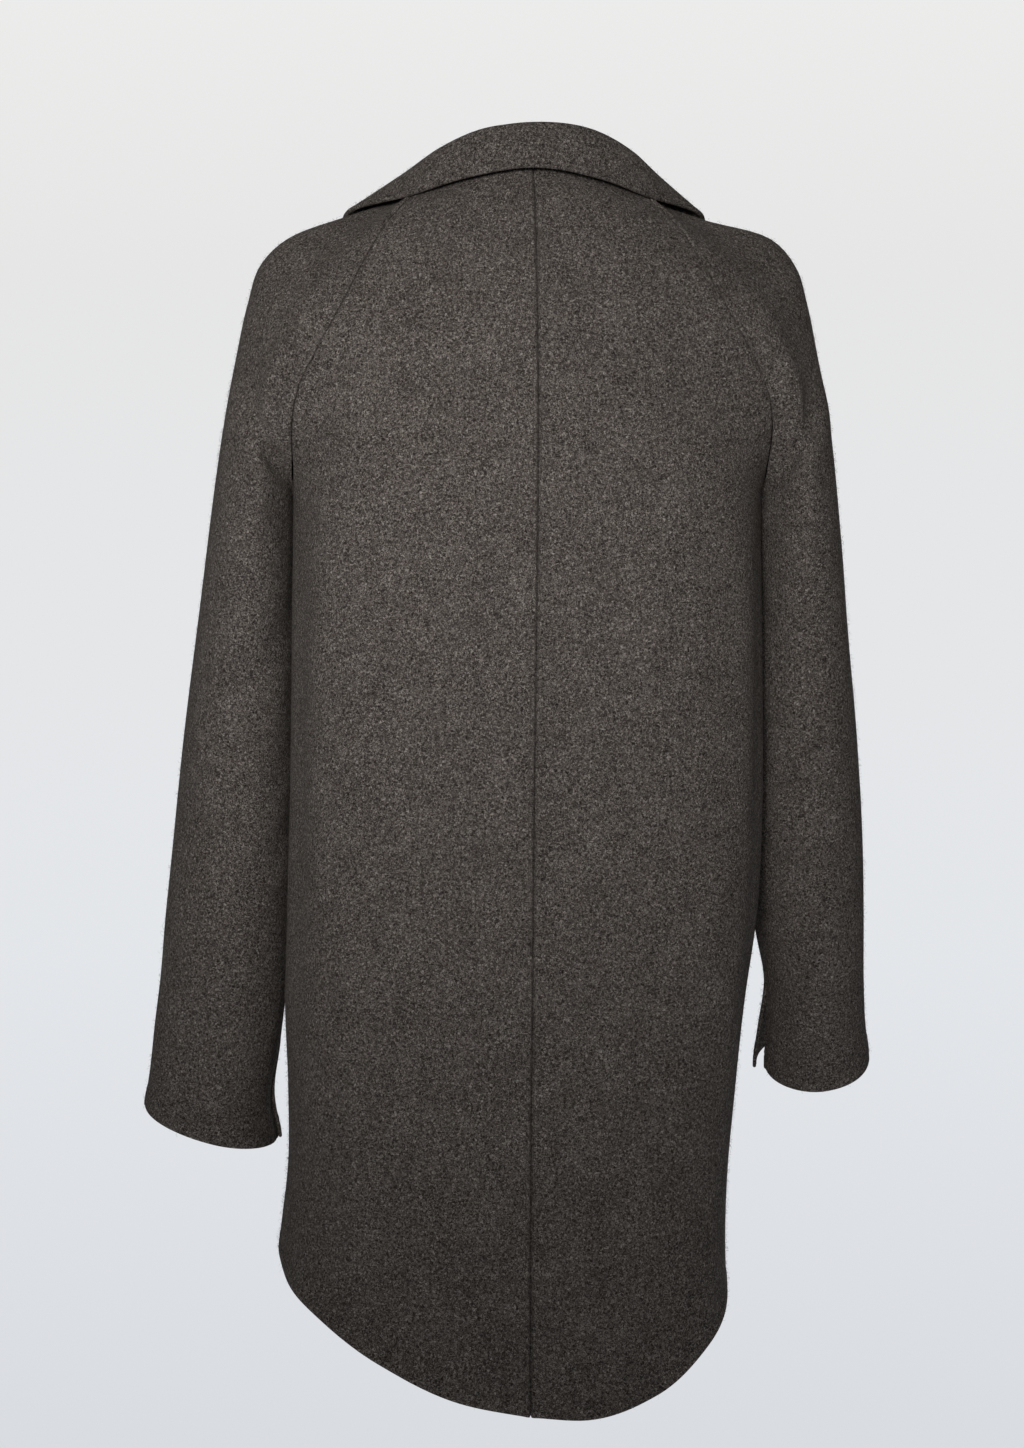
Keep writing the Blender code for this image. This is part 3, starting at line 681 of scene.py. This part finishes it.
# Slow unevenness of hanging cloth, quiet near the seams: heights, each with two waves to multiply
# that have their turns along X, Y and Z and a shift
DRAPE = (
    (0.0008, (23, 0, 7, 1.3), (0, -6, 9, 0.4)),
    (0.0004, (51, -17, 0, 0.9), (0, 31, 21, 2.2)),
)
QUIET = 0.03


def grid(surface, rows, first, last, step):
    """Points on rows, set distances from both ends and even between, and how far along they lie."""
    fine = np.linspace(0, 1, FINE_STEPS)
    levels = rows[:, None]
    runs = run_lengths(surface(fine, levels), 1)
    total = runs[:, -1:]
    room = np.minimum(1, total / (SHORT_LINE * max(first[-1], last[-1])))
    near, far = first * room, total - last[::-1] * room
    count = int((total.max() - first[-1] - last[-1]) / step)
    middle = near[:, -1:] + (far[:, :1] - near[:, -1:]) * np.linspace(0, 1, count + 1)[1:-1]
    wanted = np.concatenate([near, middle, far], axis=1)
    shares = np.stack([np.interp(want, run, fine) for want, run in zip(wanted, runs)])
    points = surface(shares, levels)
    return points, run_lengths(points, 1)


def facing(points, outward):
    """Unit normals of a grid of points."""
    across = np.gradient(points, axis=1)
    along = np.gradient(points, axis=0)
    return outward * unit(np.cross(across, along))


def bump(distance, centre, width):
    return np.exp(-(((distance - centre) / width) ** 2))


def crease_depth(creases, run, climb):
    """How far the soft folds push each point of a panel inward."""
    depth = 0 * run
    for fold in creases:
        way = np.array([fold.to_run - fold.run, fold.to_climb - fold.climb])
        reach = np.hypot(*way)
        along = ((run - fold.run) * way[0] + (climb - fold.climb) * way[1]) / reach**2
        aside = ((run - fold.run) * way[1] - (climb - fold.climb) * way[0]) / reach
        ends = fade(np.abs(along - 0.5), CREASE_FULL, CREASE_END)
        ridges = RIDGE_SHARE * bump(np.abs(aside), RIDGE_ASIDE * fold.width, fold.width)
        depth = depth + fold.depth * ends * (bump(aside, 0, fold.width) - ridges)
    return depth


def drape(points):
    """Height of the slow unevenness at each point."""
    x, y, z = np.moveaxis(points, -1, 0)

    def swing(along_x, along_y, along_z, shift):
        return np.sin(along_x * x + along_y * y + along_z * z + shift)

    return sum(height * (swing(*first) * swing(*second)) for height, first, second in DRAPE)


def sewing_relief(kind, distance):
    """Height of the cloth near an edge, by how that edge is sewn."""
    relief = sum(height * bump(distance, place, width) for height, place, width in RELIEF[kind])
    if kind == HEM_EDGE:
        relief = relief + HEM_SWELL * fade(distance, HEM_TURN, HEM_TURN + HEM_FADE)
    return relief


# Meshes

def linked(name, data):
    made = bpy.data.objects.new(name, data)
    bpy.context.collection.objects.link(made)
    return made


def from_bmesh(name, mesh):
    data = bpy.data.meshes.new(name)
    mesh.to_mesh(data)
    mesh.free()
    return linked(name, data)


def new_object(name, points, faces, material):
    data = bpy.data.meshes.new(name)
    data.from_pydata([tuple(p) for p in points], [], faces)
    data.validate()
    data.shade_smooth()
    data.materials.append(material)
    made = linked(name, data)
    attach(made, "root")
    return made


def shell(name, outer, inner, turn, material):
    """A closed thin wall between two grids, with a rounded rim."""
    rows, columns = outer.shape[:2]
    index = np.arange(rows * columns).reshape(rows, columns)
    quads = np.stack([index[:-1, :-1], index[:-1, 1:], index[1:, 1:], index[1:, :-1]], axis=-1)
    quads = quads.reshape(-1, 4)
    back = quads[:, ::-1] + rows * columns
    border = np.concatenate([index[0], index[1:, -1], index[-1, -2::-1], index[-2:0:-1, 0]])
    inward = np.concatenate([
        outer[1] - outer[0],
        (outer[:, -2] - outer[:, -1])[1:],
        (outer[-2] - outer[-1])[-2::-1],
        (outer[:, 1] - outer[:, 0])[-2:0:-1],
    ])
    flat_outer, flat_inner = outer.reshape(-1, 3), inner.reshape(-1, 3)
    through = flat_outer[border] - flat_inner[border]
    wall = np.linalg.norm(through, axis=1, keepdims=True)
    middle = (flat_outer[border] + flat_inner[border]) / 2
    lips = [middle + through / 2 * place - unit(inward) * wall * (LIP * out) for place, out in RIM]
    points = np.concatenate([flat_outer, flat_inner, *lips])
    count = len(border)
    start = 2 * rows * columns
    loops = [border] + [start + k * count + np.arange(count) for k in range(len(RIM))]
    loops.append(border + rows * columns)
    rims = []
    for near, far in zip(loops, loops[1:]):
        rims.append(np.stack([np.roll(near, -1), near, far, np.roll(far, -1)], axis=1))
    faces = np.concatenate([quads, back, *rims])
    if turn < 0:
        faces = faces[:, ::-1]
    return new_object(name, points, faces.tolist(), material)


def tubes(paths, aside, above, radius, sides):
    """Points and faces of thin tubes, open at their ends, round lines of points."""
    turn = np.linspace(0, 2 * np.pi, sides, endpoint=False)[:, None]
    around = np.cos(turn) * aside[:, :, None, :] + np.sin(turn) * above[:, :, None, :]
    rings = paths[:, :, None, :] + radius * around
    index = np.arange(np.prod(rings.shape[:3])).reshape(rings.shape[:3])
    beside = np.roll(index, -1, axis=2)
    quads = np.stack([index[:, :-1], beside[:, :-1], beside[:, 1:], index[:, 1:]], axis=-1)
    return rings.reshape(-1, 3), quads.reshape(-1, 4).tolist()


def along_line(points, values, places):
    """Values that are known at the points of a line, at distances along it."""
    lengths = run_lengths(points, 0)
    return vec(*(np.interp(places, lengths, values[:, axis]) for axis in range(3)))


def stitches(name, lines, material):
    """Running stitches along lines of points with normals: short bent threads, ends in the cloth."""
    offsets = np.linspace(STITCH_GAP / 2, STITCH_PITCH - STITCH_GAP / 2, len(STITCH_LIFT))
    made = []
    for points, normals_there in lines:
        count = int(run_lengths(points, 0)[-1] / STITCH_PITCH)
        places = STITCH_START + STITCH_PITCH * np.arange(count)[:, None] + offsets
        up = unit(along_line(points, normals_there, places))
        at = along_line(points, points, places) + up * STITCH_LIFT[:, None]
        ahead = unit(np.gradient(at, axis=1))
        aside = unit(np.cross(up, ahead))
        made.append((at, aside, np.cross(ahead, aside)))
    paths, asides, aboves = (np.concatenate(part) for part in zip(*made))
    return new_object(name, *tubes(paths, asides, aboves, THREAD_RADIUS, THREAD_SIDES), material)


def fibres(name, outer, out, seed, material):
    """Loose wool fibres that lie on a panel's face and lift off it a little."""
    rng = np.random.default_rng(seed)
    a, b, c = outer[:-1, :-1], outer[:-1, 1:], outer[1:, :-1]
    area = np.linalg.norm(np.cross(b - a, c - a), axis=-1)
    count = int(FIBRES * area.sum())
    cell = rng.choice(area.size, size=count, p=(area / area.sum()).ravel())
    j, i = np.unravel_index(cell, area.shape)
    u, v = rng.random((2, count, 1))
    root = outer[j, i] * (1 - u) * (1 - v) + outer[j, i + 1] * u * (1 - v)
    root = root + outer[j + 1, i] * (1 - u) * v + outer[j + 1, i + 1] * u * v
    up = out[j, i]
    way = rng.normal(size=(count, 3))
    way = unit(way - up * (way * up).sum(-1, keepdims=True))
    aside = np.cross(way, up)
    length = rng.uniform(*FIBRE_LENGTH, (count, 1))
    lift = rng.uniform(*FIBRE_LIFT, (count, 1))
    curl = aside * length * rng.normal(0, FIBRE_CURL, (count, 1))
    start = root - up * FIBRE_ROOT
    middle = root + way * length * FIBRE_MIDDLE[0] + up * lift * FIBRE_MIDDLE[1] + curl
    tip = root + way * length + up * lift * rng.uniform(*FIBRE_TIP, (count, 1))
    half = (aside + up) * FIBRE_HALF_WIDTH
    points = np.stack([start - half, start + half, middle - half, middle + half, tip], axis=1)
    base = points.shape[1] * np.arange(count)[:, None]
    quads = (base + np.array([0, 1, 3, 2])).tolist()
    tips = (base + np.array([2, 3, 4])).tolist()
    return new_object(name, points.reshape(-1, 3), quads + tips, material)


# Materials

# Wool: place on the ramp and linear colour of its fibres, dark to light, the shares of coarse and
# fine curls and of clouds in its shade, and how much brighter the loose fibres are
MELANGE = (
    (0.345, (0.006, 0.005, 0.0045)),
    (0.43, (0.026, 0.0215, 0.019)),
    (0.50, (0.074, 0.063, 0.057)),
    (0.57, (0.160, 0.142, 0.129)),
    (0.66, (0.360, 0.330, 0.305)),
)
CURL_SHARE = 0.78
FINE_SHARE = 0.22
CLOUD_SHARE = 0.05
FUZZ_BRIGHTNESS = 1.25
WOOL_FINISH = {
    "Roughness": 0.95,
    "Specular IOR Level": 0.12,
    "Sheen Weight": 0.04,
    "Sheen Roughness": 0.55,
    "Sheen Tint": (0.62, 0.56, 0.50, 1),
}

THREAD_COLOURS = ((0.3, (0.020, 0.016, 0.014)), (0.7, (0.075, 0.063, 0.055)))
THREAD_FINISH = {"Roughness": 0.8, "Specular IOR Level": 0.3}

# Horn: its streaks are drawn out along Z, and wear adds to the least roughness of its gloss
HORN_COLOURS = (
    (0.30, (0.010, 0.007, 0.005)),
    (0.52, (0.030, 0.020, 0.014)),
    (0.74, (0.095, 0.062, 0.040)),
)
HORN_STRETCH = (1.0, 1.0, 0.22)
HORN_ROUGHNESS = 0.22
HORN_WEAR = 0.25

FLOOR_COLOURS = ((0.3, (0.70, 0.70, 0.71)), (0.7, (0.76, 0.76, 0.76)))
FLOOR_FINISH = {"Roughness": 0.8}


def node(tree, kind, **settings):
    made = tree.nodes.new(kind)
    for name, value in settings.items():
        if name in made.inputs:
            made.inputs[name].default_value = value
        else:
            setattr(made, name, value)
    return made


def noise(tree, where, scale, detail, roughness, distortion=0.0):
    made = node(
        tree, "ShaderNodeTexNoise",
        Scale=scale, Detail=detail, Roughness=roughness, Distortion=distortion,
    )
    tree.links.new(where, made.inputs["Vector"])
    return made.outputs["Fac"]


def math_node(tree, operation, first, second):
    made = node(tree, "ShaderNodeMath", operation=operation)
    for socket, value in zip(made.inputs, (first, second)):
        if isinstance(value, (int, float)):
            socket.default_value = value
        else:
            tree.links.new(value, socket)
    return made.outputs[0]


def scaled(tree, value, factor, offset):
    return math_node(tree, "ADD", math_node(tree, "MULTIPLY", value, factor), offset)


def ramp(tree, value, stops, target):
    """Colours by value, as places with their colours, led to a target socket."""
    made = node(tree, "ShaderNodeValToRGB")
    elements = made.color_ramp.elements
    while len(elements) < len(stops):
        elements.new(0.5)
    for element, (place, colour) in zip(elements, stops):
        element.position = place
        element.color = (*colour, 1)
    tree.links.new(value, made.inputs["Fac"])
    tree.links.new(made.outputs["Color"], target)


def start_material(name, finish):
    """A new material, its tree, its shader with the constants of a finish, and object coordinates."""
    material = bpy.data.materials.new(name)
    material.use_nodes = True
    tree = material.node_tree
    shader = tree.nodes["Principled BSDF"]
    for socket, value in finish.items():
        shader.inputs[socket].default_value = value
    where = node(tree, "ShaderNodeTexCoord").outputs["Object"]
    return material, tree, shader, where


def set_bump(tree, shader, height, strength, distance):
    made = node(tree, "ShaderNodeBump", Strength=strength, Distance=distance)
    tree.links.new(height, made.inputs["Height"])
    tree.links.new(made.outputs["Normal"], shader.inputs["Normal"])


def make_wool(name, brightness):
    """Felted melange wool: curled light and dark fibres, cloudy at a larger scale, with a soft nap."""
    material, tree, shader, where = start_material(name, WOOL_FINISH)
    curls = noise(tree, where, scale=640, detail=4, roughness=0.62, distortion=1.2)
    fine = noise(tree, where, scale=1500, detail=2, roughness=0.60, distortion=1.5)
    clouds = noise(tree, where, scale=34, detail=3, roughness=0.55)
    mixed = scaled(tree, curls, CURL_SHARE, math_node(tree, "MULTIPLY", fine, FINE_SHARE))
    shade = scaled(tree, math_node(tree, "SUBTRACT", clouds, 0.5), CLOUD_SHARE, mixed)
    stops = [(place, tuple(brightness * c for c in colour)) for place, colour in MELANGE]
    ramp(tree, shade, stops, shader.inputs["Base Color"])
    set_bump(tree, shader, mixed, strength=0.55, distance=0.0011)
    return material


def make_thread(name):
    material, tree, shader, where = start_material(name, THREAD_FINISH)
    twist = noise(tree, where, scale=2600, detail=2, roughness=0.5)
    ramp(tree, twist, THREAD_COLOURS, shader.inputs["Base Color"])
    set_bump(tree, shader, twist, strength=0.3, distance=0.0001)
    return material


def make_horn(name):
    """Dark horn: slow brown streaks under a half gloss that is dulled unevenly."""
    material, tree, shader, where = start_material(name, {})
    stretch = node(tree, "ShaderNodeMapping", Scale=HORN_STRETCH)
    tree.links.new(where, stretch.inputs["Vector"])
    drawn_out = stretch.outputs["Vector"]
    streaks = noise(tree, drawn_out, scale=260, detail=5, roughness=0.6, distortion=1.2)
    ramp(tree, streaks, HORN_COLOURS, shader.inputs["Base Color"])
    worn = noise(tree, where, scale=900, detail=3, roughness=0.6)
    tree.links.new(scaled(tree, worn, HORN_WEAR, HORN_ROUGHNESS), shader.inputs["Roughness"])
    set_bump(tree, shader, worn, strength=0.12, distance=0.0002)
    return material


def make_floor_paint(name):
    material, tree, shader, where = start_material(name, FLOOR_FINISH)
    clouds = noise(tree, where, scale=3, detail=3, roughness=0.5)
    ramp(tree, clouds, FLOOR_COLOURS, shader.inputs["Base Color"])
    return material


WOOL = make_wool("wool_melange", 1.0)
FUZZ = make_wool("wool_fibre", FUZZ_BRIGHTNESS)
THREAD = make_thread("wool_thread")
HORN = make_horn("horn_button")


# The coat's pieces


def dress(node_name, outer, out, wall, side, flip, seed, lines):
    """Builds one sheet of cloth with its stitches and fibres, and hides its solid."""
    mirror = np.array([side, 1, 1])
    inner = (outer - out * wall) * mirror
    piece = shell(node_name + "_cloth", outer * mirror, inner, flip * side, WOOL)
    sewn = [(outer[where] * mirror, out[where] * mirror) for where in lines]
    with_pieces = [
        fibres(node_name + "_fibres", outer * mirror, out * mirror, seed, FUZZ),
        stitches(node_name + "_stitches", sewn, THREAD),
    ]
    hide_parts(node_name)


def panel(node_name, surface, low_length, sewn, side, flip, creases, seed):
    """A body or sleeve panel: fine rows, pressed seams, folds, stitched hem.

    sewn says how its first and its last edge are sewn.
    """
    first, last = sewn
    steps = [EDGE_STEPS if kind == EDGE else SEAM_STEPS for kind in sewn]
    even = np.arange(EVEN_FROM, low_length, GRID_STEP)
    low = np.concatenate([HEM_STEPS, even]) / low_length
    low = low[low < EVEN_TO]
    rows = np.concatenate([low, np.linspace(1, 2, SHOULDER_ROWS)])
    base, run = grid(surface, rows, *steps, GRID_STEP)
    to_last = run[:, -1:] - run
    climb = run_lengths(base, 0)
    climb = climb - climb[len(low)]
    relief = sewing_relief(first, run) + sewing_relief(last, to_last)
    relief = relief + sewing_relief(HEM_EDGE, rows[:, None] * low_length)
    quiet = fade(run, QUIET, 0.0) * fade(to_last, QUIET, 0.0)
    relief = relief - crease_depth(creases, run, climb) + drape(base) * quiet
    out = facing(base, flip)
    outer = base + out * (relief - SEAM_GAP / 2)[..., None]
    for kind, edge, next_to in ((first, 0, 1), (last, -1, -2)):
        if kind in FLAT_SEAMS:
            outer[:, edge] += unit(outer[:, next_to] - outer[:, edge]) * SEAM_GAP / 2
    if first in CENTRE_SEAMS:
        inward = unit(outer[:, 1] - outer[:, 0]) * (LIP * WALL - CENTRE_TOUCH)
        room = fade(run, SEAM_STEPS[0], SEAM_STEPS[-1])[..., None]
        outer = outer + inward[:, None] * room
    lines = [(HEM_STITCH, slice(None))]
    if first == CENTRE_STITCHED:
        lines.append((slice(None), SEAM_STITCH))
    if first == EDGE:
        lines.append((slice(None), EDGE_STITCH))
    dress(node_name, outer, out, WALL, side, flip, seed, lines)


def make_panels():
    for number, (side, half) in enumerate(product((LEFT, RIGHT), (BACK, FRONT))):
        name = f"{HALF_NAMES[half]}_{SIDE_NAMES[side]}"
        first = EDGE
        if half == BACK:
            first = CENTRE_STITCHED if side == LEFT else CENTRE
        panel(
            name, partial(body, side, half), BODY_LENGTH, (first, UNDER), side, -half,
            BODY_CREASES[half], BODY_SEED + number,
        )
        arm_length = UNDERARM_Z - ARMS[side][0].z
        panel(
            "sleeve_" + name, partial(sleeve, side, half), arm_length, (LAPPED, SEAM), side, -half,
            SLEEVE_CREASES[half], SLEEVE_SEED + number,
        )


def make_collar():
    rows = np.linspace(-1, 1, COLLAR_ROWS)
    base, run = grid(collar, rows, COLLAR_SEAM_STEPS, EDGE_STEPS, COLLAR_STEP)
    relief = sewing_relief(EDGE, run[:, -1:] - run) + COLLAR_DRAPE * drape(base)
    out = facing(base, FRONT)
    outer = base + out * relief[..., None]
    lines = [(slice(None), -1 - EDGE_STITCH)]
    dress("collar", outer, out, COLLAR_WALL, LEFT, FRONT, COLLAR_SEED, lines)


def make_lapels():
    across, rise = np.linspace(0, 1, LAPEL_COLUMNS), np.linspace(0, 1, LAPEL_ROWS)[:, None]
    for side in (LEFT, RIGHT):
        outer = lapel(side, across, rise)
        dress(
            f"lapel_{SIDE_NAMES[side]}", outer, facing(outer, -FRONT), WALL, side, -FRONT,
            LAPEL_SEED + side, [LAPEL_STITCH],
        )


# Buttons

BUTTON_SIDES = 56
BUTTON_RIM_STEPS = 9
BUTTON_SHARP = math.radians(35)
HOLE_RADIUS = 0.0011
HOLE_REACH = 0.0026 / math.sqrt(2)
HOLE_SIDES = 20
MERGE_DISTANCE = 1e-6

# The slope inside the rim: how far in, in rims, and how far down, in depths of the dish
BUTTON_SLOPE = ((1.0, 0.15), (1.35, 0.7), (1.8, 1.0))

# Strands in each bar of thread over a button, and the path of one: shares of its place aside, of
# the way to the hole and of the lift, and the drop into the hole
STRANDS = (-1.5, -0.5, 0.5, 1.5)
STRAND_PITCH = 0.00034
STRAND_LIFT = 0.00045
STRAND_CROWN = 0.00012
STRAND_RADIUS = 0.0002
STRAND_SIDES = 6
STRAND_PATH = (
    (0.6, -1.0, 0.0, 0.0030),
    (1.0, -1.0, 0.0, 0.0004),
    (1.0, -0.7, 1.0, 0.0),
    (1.0, 0.0, 1.15, 0.0),
    (1.0, 0.7, 1.0, 0.0),
    (1.0, 1.0, 0.0, 0.0004),
    (0.6, 1.0, 0.0, 0.0030),
)


def lathe(profile, steps):
    """A mesh turned about Z from radii and heights."""
    mesh = bmesh.new()
    points = [mesh.verts.new((radius, 0, height)) for radius, height in profile]
    for start, end in zip(points, points[1:]):
        mesh.edges.new((start, end))
    bmesh.ops.spin(
        mesh, geom=mesh.verts[:] + mesh.edges[:], axis=(0, 0, 1), cent=(0, 0, 0),
        angle=2 * math.pi, steps=steps, use_merge=True,
    )
    bmesh.ops.remove_doubles(mesh, verts=mesh.verts[:], dist=MERGE_DISTANCE)
    bmesh.ops.recalc_face_normals(mesh, faces=mesh.faces[:])
    return mesh


def button_profile():
    """Radius and height of a dished button with a rounded rim."""
    radius, thick = BUTTON_RADIUS, BUTTON_THICKNESS
    half = thick / 2
    turn = np.linspace(-math.pi / 2, math.pi / 2, BUTTON_RIM_STEPS)
    edge = [(radius - half + half * math.cos(t), half * (1 + math.sin(t))) for t in turn]
    slope = [(radius - far * BUTTON_RIM, thick - deep * BUTTON_DISH) for far, deep in BUTTON_SLOPE]
    return [(0.0, 0.0), *edge, *slope, (0.0, thick - BUTTON_DISH)]


def make_button(name, seat, out):
    button = from_bmesh(name + "_disc", lathe(button_profile(), BUTTON_SIDES))
    drill = bmesh.new()
    for x, y in product((HOLE_REACH, -HOLE_REACH), repeat=2):
        bmesh.ops.create_cone(
            drill, cap_ends=True, segments=HOLE_SIDES, radius1=HOLE_RADIUS, radius2=HOLE_RADIUS,
            depth=4 * BUTTON_THICKNESS, matrix=Matrix.Translation((x, y, 0)),
        )
    cutter = from_bmesh(name + "_drill", drill)
    cut = button.modifiers.new("holes", "BOOLEAN")
    cut.object, cut.operation, cut.solver = cutter, "DIFFERENCE", "EXACT"
    graph = bpy.context.evaluated_depsgraph_get()
    drilled = bpy.data.meshes.new_from_object(button.evaluated_get(graph))
    button.modifiers.clear()
    button.data = drilled
    bpy.data.objects.remove(cutter)
    turn = Matrix.Translation(seat) @ Vector(out).to_track_quat("Z", "Y").to_matrix().to_4x4()
    drilled.transform(turn)
    drilled.shade_smooth()
    drilled.set_sharp_from_angle(angle=BUTTON_SHARP)
    drilled.materials.clear()
    drilled.materials.append(HORN)
    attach(button, "root")
    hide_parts(name)
    sew_button(name, turn)


def sew_button(name, turn):
    """Two bars of thread over the button, each of four strands that dip into its holes."""
    top = BUTTON_THICKNESS - BUTTON_DISH
    paths = []
    for x, strand in product((-HOLE_REACH, HOLE_REACH), STRANDS):
        aside = strand * STRAND_PITCH
        lift = STRAND_LIFT + STRAND_CROWN * (2 - abs(strand))
        paths.append([
            (x + aside * beside, HOLE_REACH * along, top + lift * rise - drop)
            for beside, along, rise, drop in STRAND_PATH
        ])
    paths = np.array(paths)
    asides = np.broadcast_to([1.0, 0.0, 0.0], paths.shape)
    aboves = np.cross(unit(np.gradient(paths, axis=1)), asides)
    tube = tubes(paths, asides, aboves, STRAND_RADIUS, STRAND_SIDES)
    thread = new_object(name + "_thread", *tube, THREAD)
    thread.data.transform(turn)


def make_buttons():
    across = np.array(BUTTON_ACROSS)
    mirror = np.array([RIGHT, 1, 1])
    front = partial(body, RIGHT, FRONT)
    hem = smooth(HEM, "front_right", across)
    for number, z in enumerate(BUTTON_HEIGHTS, 1):
        level = (z - hem) / (UNDERARM_Z - hem)
        out = normals(front, across, level, -FRONT)
        seat = front(across, level) + out * SEAM_GAP
        make_button(f"button_{number}", seat * mirror, out * mirror)


# Floor, light and camera

FLOOR_Z = -1.45
FLOOR_RADIUS = 1.7
FLOOR_THICKNESS = 0.02
FLOOR_SIDES = 96

# Colours of the studio from straight below (0) over eye level (0.5) to straight above (1), and the
# share of its strength that lights the coat
STUDIO = (
    (0.00, (0.30, 0.30, 0.31)),
    (0.38, (0.66, 0.68, 0.72)),
    (0.47, (0.77, 0.79, 0.82)),
    (0.56, (0.79, 0.79, 0.79)),
    (0.75, (1.05, 1.04, 1.02)),
    (1.00, (1.45, 1.42, 1.38)),
)
AMBIENT = 0.12

# Soft lights, with the angle of each beam in degrees
Lamp = namedtuple("Lamp", "name place target size power colour beam")
WARM = (1.0, 0.985, 0.965)
COOL = (0.95, 0.98, 1.05)
LAMPS = (
    Lamp("key_behind", (0.55, 2.35, 0.10), (0.08, 0.0, -0.23), 1.0, 2.42, WARM, 29),
    Lamp("key_before", (-0.70, -2.3, 0.10), (-0.04, 0.0, -0.36), 1.0, 3.6, WARM, 52),
    Lamp("floor_wash", (0.0, 0.0, -1.05), (0.0, 0.0, -2.0), 3.8, 18.0, COOL, 180),
)

EYE_AZIMUTH = math.radians(175.5)
EYE_DISTANCE = 3.0
EYE_HEIGHT = -0.441
EYE_ASIDE = 0.0116
EYE_LENS = 93.2
SENSOR_WIDTH = 36


def make_floor():
    under = FLOOR_Z - FLOOR_THICKNESS
    rim = [(FLOOR_RADIUS - FLOOR_THICKNESS, FLOOR_Z), (FLOOR_RADIUS, under)]
    floor = from_bmesh("floor", lathe([(0.0, FLOOR_Z), *rim, (0.0, under)], FLOOR_SIDES))
    floor.data.materials.append(make_floor_paint("floor_paint"))


def make_light(lamp):
    data = bpy.data.lights.new(lamp.name, "AREA")
    data.shape, data.size, data.energy, data.color = "DISK", lamp.size, lamp.power, lamp.colour
    data.spread = math.radians(lamp.beam)
    made = linked(lamp.name, data)
    made.location = lamp.place
    aim = Vector(lamp.target) - Vector(lamp.place)
    made.rotation_euler = aim.to_track_quat("-Z", "Y").to_euler()
    made.visible_camera = False


def make_surroundings():
    """A pale studio all round: bright above, near white at eye level and dimmer below."""
    world = bpy.data.worlds.new("studio")
    world.use_nodes = True
    tree = world.node_tree
    background = tree.nodes["Background"]
    where = node(tree, "ShaderNodeTexCoord").outputs["Generated"]
    parts = node(tree, "ShaderNodeSeparateXYZ")
    tree.links.new(where, parts.inputs[0])
    ramp(tree, scaled(tree, parts.outputs["Z"], 0.5, 0.5), STUDIO, background.inputs["Color"])
    seen = node(tree, "ShaderNodeLightPath").outputs["Is Camera Ray"]
    tree.links.new(scaled(tree, seen, 1 - AMBIENT, AMBIENT), background.inputs["Strength"])
    bpy.context.scene.world = world


def make_camera():
    back = Vector((math.sin(EYE_AZIMUTH), -math.cos(EYE_AZIMUTH), 0))
    right = Vector((0, 0, 1)).cross(back)
    data = bpy.data.cameras.new("camera")
    data.lens, data.sensor_width = EYE_LENS, SENSOR_WIDTH
    camera = linked("camera", data)
    camera.location = Vector((0, 0, EYE_HEIGHT)) + back * EYE_DISTANCE - right * EYE_ASIDE
    camera.rotation_euler = (-back).to_track_quat("-Z", "Y").to_euler()
    bpy.context.scene.camera = camera


make_panels()
make_collar()
make_lapels()
make_buttons()
make_floor()
for soft_light in LAMPS:
    make_light(soft_light)
make_surroundings()
make_camera()
bpy.context.scene.view_settings.view_transform = "Standard"
